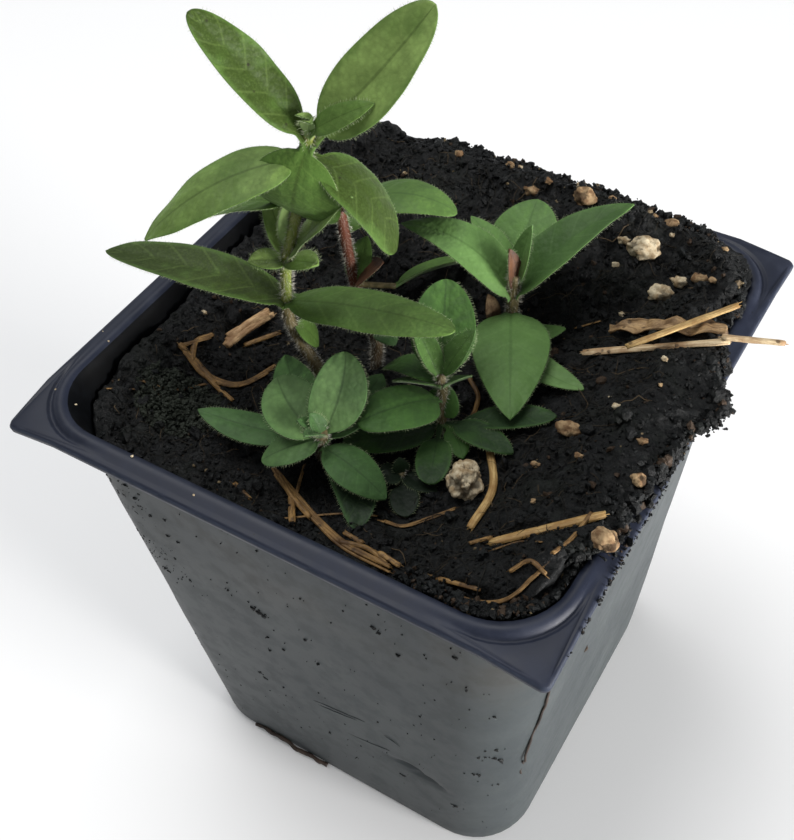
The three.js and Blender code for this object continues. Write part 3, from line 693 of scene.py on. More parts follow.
def painted_light_plastic(name, pale, dark):
    """The pot's plastic without the wall's dust haze, with painted light: the lighter bluish band on the
    rim's outer edge is a painted highlight, and the near-black inside is painted shade.
    """
    f = Finish(name, 0.55, specular=0.15)
    f.colour(f.blend(f.step(f.noise(2, detail=4), 0.4, 0.7), pale, dark))
    f.bump(f.noise(1, detail=3), 0.05, 0.3)
    return f.material


# Soil surface: the same heaps as the frame's, with a finer grain laid on
def soil_height(x, y):
    mound = 1.6 * np.exp(-(((x - 3) / 6) ** 2)) * smooth(30, 41, y)
    back = (BACK_HEAP - 3 * smooth(14, 34, x)) * smooth(6, 41, y) + mound
    right = RIGHT_HEAP * smooth(16, 39, x) * smooth(-46, -30, y)
    left = LEFT_HEAP * (1 - smooth(-40, -25, x))
    heap = np.maximum(np.maximum(back, right), left) + 0.25 * np.minimum(back, right)
    hollow = 1.8 * np.exp(-(((x - 8) / 12) ** 2) - (((y + 24) / 9) ** 2))
    hollow = hollow + 3.5 * np.exp(-(((x + 37) / 7) ** 2) - (((y + 37) / 7) ** 2))
    lumps = 0.7 * noise(x / 7, y / 7, 3.5) + 0.5 * noise(x / 3.1, y / 3.1, 8.5)
    return SOIL_MIDDLE + heap - hollow + SOIL_GRAIN * lumps


def soil_grain(x, y):
    """Crumbs and pits, from 3 mm down to half a millimetre."""
    crumb = 0.7 - 1.5 * np.abs(noise(x / 2.3, y / 2.3, 2.5))
    rough = 0.55 * noise(x / 1.1, y / 1.1, 6.5) + 0.4 * noise(x / 0.55, y / 0.55, 4.5)
    return crumb + rough


# Pot
def square_ring(half, corner, height, droop=0):
    """A square outline with round corners, as one ring of points."""
    local = []
    for k in range(SIDE_STEPS):
        local.append((half, mix(-1, 1, (k + 0.5) / SIDE_STEPS) * (half - corner)))
    for k in range(ARC_STEPS + 1):
        angle = 90 * DEGREE * k / ARC_STEPS
        reach = half - corner
        local.append((reach + corner * math.cos(angle), reach + corner * math.sin(angle)))
    ring = []
    for quarter in range(4):
        c, s = math.cos(quarter * 90 * DEGREE), math.sin(quarter * 90 * DEGREE)
        for x, y in local:
            sag = droop * float(smooth(35, RIM_HALF, min(abs(x), abs(y))))
            ring.append((x * c - y * s, x * s + y * c, height - sag))
    return np.array(ring)


def loft(shells, rings):
    """A closed shell through rings of equal length, closed by its first and last ring."""
    shells.add(np.concatenate(rings), ring_faces(len(rings), len(rings[0])))


def wall_half(z):
    """Half the pot's width at that height."""
    return mix(BASE_HALF, WALL_TOP_HALF, np.clip((z - 1.3) / (RIM_HEIGHT - 5.3), 0, 1))


def wall_relief(ring):
    """The thin wall's slight waves, and a dent low on the front face."""
    x, y, z = ring.T
    half = wall_half(z)
    waves = 0.14 * noise(x / 13 + 5, y / 13, z / 17) + 0.05 * noise(x / 4, y / 4, z / 5)
    start, end = DENT
    run_x, run_z = end[0] - start[0], end[1] - start[1]
    along = np.clip(((x - start[0]) * run_x + (z - start[1]) * run_z) / DENT_SPAN, 0, 1)
    away = np.hypot(x - mix(start[0], end[0], along), z - mix(start[1], end[1], along))
    dent = DENT_DEPTH * np.exp(-((away / DENT_HALF) ** 2)) * (y < -half + 1)
    out = np.column_stack([x, y, np.zeros(len(x))])
    out /= np.linalg.norm(out, axis=1)[:, None]
    return ring + out * waves[:, None] + np.column_stack([np.zeros(len(x)), dent, np.zeros(len(x))])


def slot_cutter():
    """Two rounded prisms that cut the drain slots at the foot of the front and the back."""
    shells = Shells()
    for turn in (1, -1):
        rings = []
        for depth in (-SLOT_DEPTH, SLOT_DEPTH):
            ring = []
            for k in range(SLOT_SIDES):
                angle = 2 * math.pi * k / SLOT_SIDES
                x = SLOT_MIDDLE[0] + SLOT_LENGTH / 2 * math.cos(angle)
                z = 1.2 * SLOT_HEIGHT * math.sin(angle)
                ring.append((turn * x, turn * (SLOT_MIDDLE[1] + depth), z))
            rings.append(np.array(ring))
        loft(shells, rings)
    return shells


def wall_rings():
    """The base's underside, the foot and the outside of the wall, from the bottom up."""
    rings = [square_ring(BASE_HALF - 2.4, BASE_CORNER - 2.2, 0.5)]
    for inset, height in ((1.6, 0.1), (0.8, 0), (0.25, 0.5), (0, 1.3)):
        rings.append(square_ring(BASE_HALF - inset, BASE_CORNER - inset, height))
    for z in (*np.linspace(4, 18, 5), *np.linspace(18.7, 28, 16), *np.linspace(30, RIM_HEIGHT - 4, 22)):
        corner = mix(BASE_CORNER, WALL_TOP_CORNER, z / RIM_HEIGHT)
        ring = square_ring(float(wall_half(z)), corner, z)
        rings.append(wall_relief(ring) if z < RIM_HEIGHT - 6 else ring)
    return rings


def flange_rings():
    """The rim's underside and its outer edge."""
    rings = [
        square_ring(WALL_TOP_HALF + 0.3, WALL_TOP_CORNER, RIM_HEIGHT - 2.4),
        square_ring(WALL_TOP_HALF + 1.2, WALL_TOP_CORNER - 1, RIM_HEIGHT - 1.4),
    ]
    rows = [
        (FLANGE, 1, FLANGE + 0.3), (FLANGE - 0.2, 1, LIP + 0.35), (0.1, 1.2, LIP + 0.3),
        (0, 1.2, 0.6), (0.2, 1.2, 0.15), (0.6, 1.2, 0),
    ]
    for inset, corner, down in rows:
        rings.append(square_ring(RIM_HALF - inset, corner, RIM_HEIGHT - down, CORNER_DROOP))
    return rings


def bead_rings():
    """The rim's flat corners, its round bead and the start of the inside."""
    rings = []
    for inset, corner, at_corner, along_side in BEAD:
        ring = square_ring(RIM_HALF - inset, corner, RIM_HEIGHT)
        bent = smooth(29, 34, np.minimum(np.abs(ring[:, 0]), np.abs(ring[:, 1])))
        ring[:, 2] += mix(along_side, at_corner, bent)
        rings.append(ring)
    return rings


def inside_rings():
    """The inside of the wall, from the top down, and the floor."""
    rings = []
    for t in np.arange(8) / 7:
        half = mix(WALL_TOP_HALF, BASE_HALF, t) - WALL
        corner = mix(WALL_TOP_CORNER, BASE_CORNER, t) - WALL
        rings.append(square_ring(half, corner, mix(RIM_HEIGHT - 4.5, WALL + 1.2, t)))
    rings.append(square_ring(BASE_HALF - WALL - 0.8, BASE_CORNER - WALL - 0.8, WALL))
    return rings


def make_pot(materials):
    """The pot, with finish 1 on the rim's outer edge, a painted highlight, and 2 on the inside, painted
    shade.
    """
    rings = wall_rings() + flange_rings()
    edge = len(rings) - 3
    rings += bead_rings()
    inside = len(rings) - 4
    rings += inside_rings()
    shells = Shells()
    loft(shells, rings)
    band = len(rings[0])
    # Finish 1 on the rim's outer edge: a lighter band, a painted highlight.
    shells.finish[edge * band:(edge + 1) * band] = [1] * band
    # Finish 2 from the bead's inner side down: near-black plastic, painted shade inside the pot.
    bands = len(rings) - 1 - inside
    shells.finish[inside * band:(inside + bands) * band] = [2] * (bands * band)
    pot = shells.piece("pot_shell", "pot", "pot_plastic", materials)
    cut_slots(pot)


def cut_slots(pot):
    """Cut the drain slots, keep the cut mesh alone and drop the cutter."""
    cutter = bpy.data.objects.new("slot_cutter", slot_cutter().mesh("slot_cutter", []))
    bpy.context.scene.collection.objects.link(cutter)
    cut = pot.modifiers.new("slots", "BOOLEAN")
    cut.operation = "DIFFERENCE"
    cut.solver = "EXACT"
    cut.object = cutter
    graph = bpy.context.evaluated_depsgraph_get()
    mesh = bpy.data.meshes.new_from_object(pot.evaluated_get(graph))
    pot.modifiers.clear()
    pot.data = mesh
    mesh.name = "pot_shell"
    bpy.data.objects.remove(cutter)


def front_wall(x, z):
    """The place on the front wall, round its corners too, at that x and height."""
    half = float(wall_half(z))
    corner = mix(BASE_CORNER, WALL_TOP_CORNER, z / RIM_HEIGHT)
    over = min(max(abs(x) - half + corner, 0) / corner, 0.95)
    across = math.copysign(min(abs(x), half - 0.05 * corner), x)
    return (across, corner - half - corner * math.sqrt(1 - over**2), z)


def make_wall_dirt(material):
    """Bits of mix that stick to the front and right walls, and finer specks on the front."""
    rng = random.Random(5)
    shells = Shells()
    for x, z, size in WALL_BITS:
        for k in range(rng.randint(1, 4)):
            spread = 0.0 if k == 0 else 1.1 * size
            place = front_wall(x + rng.gauss(0, spread), z + rng.gauss(0, spread))
            own = 0.75 * size * (1 if k == 0 else rng.uniform(0.2, 0.45))
            sizes = (own * rng.uniform(0.7, 1.3), 0.16 + 0.2 * own, own * rng.uniform(0.5, 0.9))
            pebble(shells, place, sizes, rng.random() * 50, rough=0.7, marks=(0, 0, 0.8 * rng.random()))
    for k in range(WALL_SPECKS):
        x, z = rng.uniform(-30, 33), rng.uniform(3, 84)
        size = rng.uniform(0.06, 0.16)
        if k % 2:
            z = rng.uniform(54, 85)
            x = -36 + 0.18 * (85 - z) + 9 * rng.random() ** 1.6
            size = 0.07 + 0.33 * rng.random() ** 3
        sizes = (size * rng.uniform(0.7, 1.6), 0.12, size)
        pebble(shells, front_wall(x, z), sizes, rng.random() * 50, 1, rough=0.9)
    for y, z, size in RIGHT_WALL_BITS:
        place = (-front_wall(y, z)[1], y, z)
        sizes = (0.25, size, size)
        pebble(shells, place, sizes, rng.random() * 50, rough=0.7, marks=(0, 0, 0.95))
    shells.piece("wall_dirt", None, "potting_soil", [material])


def make_scratches(material):
    """Fine raised lines where the wall was scratched."""
    rng = random.Random(9)
    shells = Shells()
    for (x0, z0), (x1, z1) in SCRATCHES:
        line = []
        for k in range(13):
            t = k / 12
            z = mix(z0, z1, t) + rng.gauss(0, 0.06)
            line.append((mix(x0, x1, t), -float(wall_half(z)) - 0.01, z))
        tube(shells, line, 0.09 * np.sin(np.linspace(0.2, 2.9, 13)), 5)
    shells.piece("wall_scratches", None, "pot_plastic", [material])


def make_rim_specks(material):
    """Pale grains that lie on the rim."""
    shells = Shells()
    for k, (x, y, z, size) in enumerate(RIM_SPECKS):
        pebble(shells, (x, y, z), (0.6 * size, 0.5 * size, 0.3 * size), 3 + k, rough=0.5)
    shells.piece("rim_specks", None, "perlite", [material])


def make_wall_roots(material):
    """A fine root down the front corner's edge, and one that lies in the front drain slot."""
    shells = Shells()
    rng = random.Random(8)
    for path, radius in WALL_ROOTS:
        line = smooth_path(path, 10)
        line = line + np.array([[rng.gauss(0, 0.12) for _ in range(3)] for _ in line])
        line = smooth_path(list(line[::3]), 4)
        tube(shells, line, radius, 6, marks=(0, 0, 0.5), knobs=0.3)
    shells.piece("wall_roots", None, "twig", [material])


# Soil
def soil_outline(angle, half, corner):
    """How far the soil's edge lies from the middle in that direction."""
    c, s = np.abs(np.cos(angle)), np.abs(np.sin(angle))
    straight = half / np.maximum(c, s)
    reach = half - corner
    along = reach * (c + s)
    arc = along + np.sqrt(np.maximum(along**2 - (2 * reach**2 - corner**2), 0))
    bent = np.minimum(c, s) * straight > reach
    return np.where(bent, arc, straight)


def ragged(along):
    """Small bites out of an edge."""
    return 0.7 * noise(along / 0.9, 4.1, 0.7) + 0.4 * noise(along / 0.4, 1.1, 2.7)


def right_reach(along):
    """How far out the soil lies over the right rim."""
    clump = 4 * np.exp(-(((along - 4.6) / 5.8) ** 2))
    far = 2.2 * smooth(14, 19, along)
    return 43 + clump - far + 0.8 * noise(along / 3, 2.2, 0.5) + 0.9 * ragged(along)


def back_reach(along):
    """How far out the soil lies over the back rim."""
    near = 1.6 * smooth(-14, -24, along)
    return 43.4 - near + 0.7 * noise(along / 3, 7.7, 0.5) + 0.8 * ragged(along + 50)


def over_rim(inner, along, start, end, reach):
    """The soil's edge on one side: pushed out over the rim between two places along it."""
    s = np.clip((along - start) / (end - start), 0, 1)
    ends = smooth(0, 0.12, s) * smooth(0, 0.12, 1 - s)
    return mix(inner, np.maximum(reach(along), inner), ends)


def soil_reach(angle):
    """How far the soil goes in a direction: inside the pot, and with what lies over the rim."""
    inner = soil_outline(angle, SOIL_HALF, WALL_TOP_CORNER - WALL)
    c, sn = np.cos(angle), np.sin(angle)
    x, y = inner * c, inner * sn
    on_right = (x > 0) & (np.abs(x) >= np.abs(y))
    on_back = (y > 0) & (np.abs(y) > np.abs(x))
    right = over_rim(inner, y, -28, 36, lambda a: right_reach(a) / np.maximum(c, 0.5))
    back = over_rim(inner, x, -28, 36, lambda a: back_reach(-a) / np.maximum(sn, 0.5))
    outer = np.where(on_right, right, np.where(on_back, back, inner))
    corner = smooth(26, 36, angle / DEGREE) * smooth(64, 54, angle / DEGREE)
    brim = soil_outline(angle, 40.9, 10.2) + 0.5 * ragged(angle * 40)
    return inner, mix(outer, np.maximum(brim, inner), corner)


def soil_place(s, t):
    """Where a place of the skin's square lies, how near its edge it is, and the pot's reach."""
    share = np.maximum(np.abs(s), np.abs(t))
    angle = np.arctan2(t, s)
    inner, outer = soil_reach(angle)
    reach = share * outer
    return reach * np.cos(angle), reach * np.sin(angle), share, inner


def soil_top(x, y):
    """Height of the soil's skin at a place."""
    x, y = np.asarray(x, float), np.asarray(y, float)
    angle = np.arctan2(y, x)
    share = np.minimum(np.hypot(x, y) / soil_reach(angle)[1], 0.995)
    c, s = np.cos(angle), np.sin(angle)
    square = np.maximum(np.abs(c), np.abs(s))
    return soil_skin(share * c / square, share * s / square)[..., 2]


def soil_skin(s, t):
    """Points of the soil's upper skin."""
    x, y, share, inner = soil_place(s, t)
    z = soil_height(x, y) + soil_grain(x, y)
    corner = smooth(16, 34, x) * smooth(-16, -34, y) * smooth(0.55, 0.9, share)
    z = mix(z, np.maximum(z, RIM_HEIGHT - 0.6 + 0.7 * soil_grain(x, y)), corner)
    outer = np.hypot(x, y) / np.maximum(share, 1e-6)
    lip = smooth(0, 0.07, 1 - share)
    crest = SOIL_RIM + 0.35 + 0.9 * lip + 0.5 * noise(x / 3, y / 3, 1.5)
    crest = crest + 0.6 * soil_grain(x, y) * (0.3 + 0.7 * lip)
    crest = np.maximum(crest, SOIL_RIM + 0.1)
    high = np.maximum(np.minimum(z, crest + 5 * smooth(0, 0.3, 1 - share)), crest)
    lying = smooth(-3.5, 0.2, np.hypot(x, y) - inner) * smooth(0.2, 2.5, outer - inner)
    return np.stack([x, y, pressed(x, y, mix(z, high, lying))], axis=-1)


def pressed(x, y, z):
    """The skin let down where a straw, twig, leaf or stone lies, so that it shows on top."""
    for line, radius in LYING:
        for a, b in zip(line, line[1:]):
            share, away = off_line(x, y, a, b)
            bed = mix(a[2], b[2], share) - 0.35 * radius
            near = 1 - smooth(radius, radius + 0.8, away)
            z = mix(z, np.minimum(z, bed), near)
    return z


def make_soil(material):
    """The block of mix: its grained skin, sides that hang from the skin's edge, and its floor."""
    cells = SOIL_CELLS
    line = np.linspace(-1, 1, cells + 1)
    s, t = np.meshgrid(line, line, indexing="ij")
    top = soil_skin(s, t)
    border = grid_border(cells, cells)
    edge = top.reshape(-1, 3)[border]
    inner = soil_place(s.reshape(-1)[border], t.reshape(-1)[border])[3]
    outward = edge[:, :2] / np.linalg.norm(edge[:, :2], axis=1)[:, None]
    over = np.hypot(edge[:, 0], edge[:, 1]) > inner + 0.3
    wall = outward * inner[:, None]
    under = np.column_stack([edge[:, :2] * 0.995, np.where(over, SOIL_RIM, edge[:, 2] - 1)])
    throat = np.column_stack([wall, np.where(over, SOIL_RIM, edge[:, 2] - 2)])
    low = np.column_stack([wall, np.full(len(edge), RIM_HEIGHT - 13)])
    shrink = (BASE_HALF - WALL - GAP) / SOIL_HALF
    floor = np.column_stack([wall * shrink, np.full(len(edge), WALL + 1.5)])
    count = (cells + 1) ** 2
    size = len(border)
    faces = grid_faces(cells, cells)
    levels = [border] + [[count + level * size + k for k in range(size)] for level in range(4)]
    for upper, lower in zip(levels, levels[1:]):
        for k in range(size):
            n = (k + 1) % size
            faces.append((upper[k], upper[n], lower[n], lower[k]))
    faces.append(tuple(levels[-1]))
    shells = Shells()
    shells.add(np.concatenate([top.reshape(-1, 3), under, throat, low, floor]), faces)
    shells.piece("soil_block", "soil", "potting_soil", [material])


def heap(shells, middles, size, draw, inside=True, shade=1.0, kind=0.0):
    """Small crumbs at those places, save where they would touch what lies on the soil."""
    keep = clear_of_lying(middles, size) & inside
    tones = shade * draw.random(len(size))
    scattered(shells, middles[keep], size[keep], draw, tones=tones[keep], kind=kind)


def small_sizes(draw, count, least, most, bias=2):
    """Half sizes of crumbs, most of them near the least."""
    return least * (most / least) ** (draw.random(count) ** bias)


def make_crumbs(material):
    """Loose crumbs of the mix, all over the soil."""
    for name, seed, count, detail, (least, most) in CRUMB_SETS:
        draw = np.random.default_rng(seed)
        s, t = draw.uniform(-0.985, 0.985, (2, count))
        size = small_sizes(draw, count, least, most, 2.2)
        middles = soil_skin(s, t)
        middles[:, 2] += 0.25 * size
        keep = clear_of_stems(middles, size) & clear_of_lying(middles, size)
        tones = draw.random(count) ** 3
        shells = Shells()
        scattered(shells, middles[keep], size[keep], draw, detail, 0.34, tones[keep])
        shells.piece(name, None, "potting_soil", [material], flat=True)


def make_clod(material):
    """A greenish clod of fine mix near the left corner."""
    draw = np.random.default_rng(41)
    count = CLOD_CRUMBS
    turn, far = draw.uniform(0, 2 * math.pi, count), draw.random(count) ** 0.6
    x = CLOD[0] + CLOD_HALF[0] * far * np.cos(turn)
    y = CLOD[1] + CLOD_HALF[1] * far * np.sin(turn)
    size = draw.uniform(0.12, 0.42, count)
    rise = 1.6 * (1 - far**2) * draw.random(count)
    middles = np.column_stack([x, y, soil_top(x, y) + 0.2 * size + rise])
    inside = np.maximum(np.abs(x), np.abs(y)) < SOIL_HALF - 0.6
    shells = Shells()
    heap(shells, middles, size, draw, inside, shade=0.9, kind=1.0)
    shells.piece("soil_clod", None, "potting_soil", [material], flat=True)


def make_edge_crumbs(material):
    """Crumbs along the soil's edges, on the right rim, the back rim and in the front corner."""
    draw = np.random.default_rng(21)
    shells = Shells()
    for back, start, end, count in EDGE_CRUMBS:
        rim_heap(shells, draw, back, start, end, count)
    corner_fill(shells, draw)
    flange_dirt(shells, draw)
    shells.piece("soil_crumbs_edge", None, "potting_soil", [material], flat=True)


def rim_heap(shells, draw, back, start, end, count):
    """Crumbs at the edge of the soil that is pushed out over one side of the rim."""
    along = draw.uniform(start, end, count)
    size = small_sizes(draw, count, 0.16, 0.85)
    edge = back_reach(-along) if back else right_reach(along)
    ends = smooth(0, 6, along - start) * smooth(0, 4, end - along)
    edge = mix(SOIL_HALF + 1, edge, ends)
    out = edge + draw.normal(-0.4, 0.6, count)
    loose = out > edge + 0.2
    out = np.where(loose & (edge < 45), np.minimum(out, RIM_HALF - 0.3), out)
    high = np.where(loose, RIM_HEIGHT + 0.3 * size, SOIL_RIM + 0.2 + draw.uniform(0, 1.1, count))
    high = np.where(loose & (edge >= 45), SOIL_RIM + draw.uniform(-0.3, 0.5, count), high)
    heap(shells, np.column_stack([along, out, high] if back else [out, along, high]), size, draw)


def flange_dirt(shells, draw):
    """Fine crumbs on the outer edge of the rim at the right."""
    along = draw.uniform(-42, 13, FLANGE_CRUMBS)
    along = along[noise(along / 2.3, 7.7, 1.5) > -0.1]
    count = len(along)
    size = 0.07 + 0.2 * draw.random(count) ** 2
    out = RIM_HALF + draw.normal(0, 0.12, count)
    high = draw.uniform(-1.1, 0.2, count) + RIM_HEIGHT
    middles = np.column_stack([out, along, high])
    scattered(shells, middles, size, draw, tones=draw.random(count))


def corner_fill(shells, draw):
    """Crumbs heaped against the wall in the front corner, up to the rim."""
    count = CORNER_CRUMBS
    angle = draw.uniform(-68, -20, count) * DEGREE
    size = small_sizes(draw, count, 0.16, 0.7)
    mouth = soil_outline(angle, WALL_TOP_HALF + 0.1, WALL_TOP_CORNER - WALL)
    inset = 0.6 * size + np.abs(draw.normal(0, 1.9, count))
    x, y = (mouth - inset) * np.cos(angle), (mouth - inset) * np.sin(angle)
    low = np.minimum(soil_top(x, y), RIM_HEIGHT - 0.4)
    ends = smooth(-68, -58, angle / DEGREE)
    top = RIM_HEIGHT + 0.7 - 0.5 * inset
    high = low + draw.random(count) ** 0.5 * ends * np.maximum(top - low, 0.2)
    heap(shells, np.column_stack([x, y, high]), size, draw)


def off_line(x, y, a, b):
    """How far along the line from a to b each place lies, and how far to its side, from above."""
    run = b[:2] - a[:2]
    share = np.clip(((x - a[0]) * run[0] + (y - a[1]) * run[1]) / (run @ run), 0, 1)
    return share, np.hypot(x - a[0] - share * run[0], y - a[1] - share * run[1])


def clear_of_lying(middles, size):
    """Which crumbs stay clear of the straws, twigs and stones."""
    keep = np.ones(len(middles), bool)
    for line, radius in LYING:
        for a, b in zip(line, line[1:]):
            run = b - a
            share = np.clip((middles - a) @ run / (run @ run), 0, 1)
            keep &= np.linalg.norm(middles - a - share[:, None] * run, axis=1) > radius + 0.7 * size
    return keep


def clear_of_stems(middles, size):
    """Which crumbs stay clear of the stems' feet."""
    keep = np.ones(len(middles), bool)
    for parts in SHOOTS.values():
        for part in parts:
            if isinstance(part, Stem) and part.planted:
                away = np.hypot(middles[:, 0] - part.path[0][0], middles[:, 1] - part.path[0][1])
                keep &= away > part.radius + size
    return keep


def make_fibres(material):
    """Fine roots and peat fibres that lie curled on the soil."""
    draw = np.random.default_rng(31)
    count, steps = FIBRES, FIBRE_STEPS
    s, t = draw.uniform(-0.93, 0.93, (2, count))
    start = soil_skin(s, t)
    length = draw.uniform(1.5, 6, count)
    heading = draw.uniform(0, 2 * math.pi, count)
    curl = draw.normal(0, 1.1, count)
    sway = draw.normal(0, 0.3, (count, steps))
    turn = heading[:, None] + curl[:, None] * np.linspace(0, 1, steps) + sway
    step = (length / (steps - 1))[:, None]
    x = start[:, :1] + np.cumsum(np.cos(turn) * step, axis=1)
    y = start[:, 1:2] + np.cumsum(np.sin(turn) * step, axis=1)
    limit = SOIL_HALF - 0.6
    inside = (np.abs(x).max(axis=1) < limit) & (np.abs(y).max(axis=1) < limit)
    bow = np.sin(np.linspace(0, math.pi, steps))
    lift = draw.uniform(0.05, 0.3, (count, 1)) + 0.9 * draw.random((count, 1)) ** 4 * bow
    z = soil_top(x, y) + lift
    z = np.maximum(z, 0.5 * (z + z.mean(axis=1, keepdims=True)))
    paths = np.stack([x, y, z], axis=-1)
    inside &= clear_of_lying(paths[:, steps // 2], np.full(count, 0.2))
    paths = paths[inside]
    radii = 0.035 + 0.05 * draw.random(count) ** 3
    tones = draw.random(count) ** 2
    shells = Shells()
    threads(shells, paths, radii[inside], tones[inside])
    shells.piece("soil_fibres", None, "potting_soil", [material])


# Leaves and stems
@dataclass
class Stem:
    """A path and a radius. A planted one goes down into the soil. Tone 0 is green, 1 is purple."""
    path: list
    radius: float
    planted: bool = True
    tone: float = 0.8


@dataclass
class Leaf:
    """A blade from root to tip. Arch bows it up, dish lifts its sides, roll turns it in degrees,
    belly is where it is widest, full and end blunt its front and back, petiole is its stalk's
    share, foot the stalk's half width, sweep bends it sideways. Tone goes from 0, dark, to 1,
    pale, specks is 1 on a specked leaf, and a fuzz over 1 gives a furry face. Dry is 1 for a
    withered finish, and 2 for a crumpled form too."""
    root: tuple
    tip: tuple
    width: float
    arch: float = 1
    dish: float = 0.12
    roll: float = 0
    belly: float = 0.42
    full: float = 1.25
    petiole: float = 0.07
    foot: float = 0.5
    sweep: float = 0
    end: float = 0
    tone: float = 0.55
    specks: int = 0
    fuzz: float = 1
    dry: int = 0


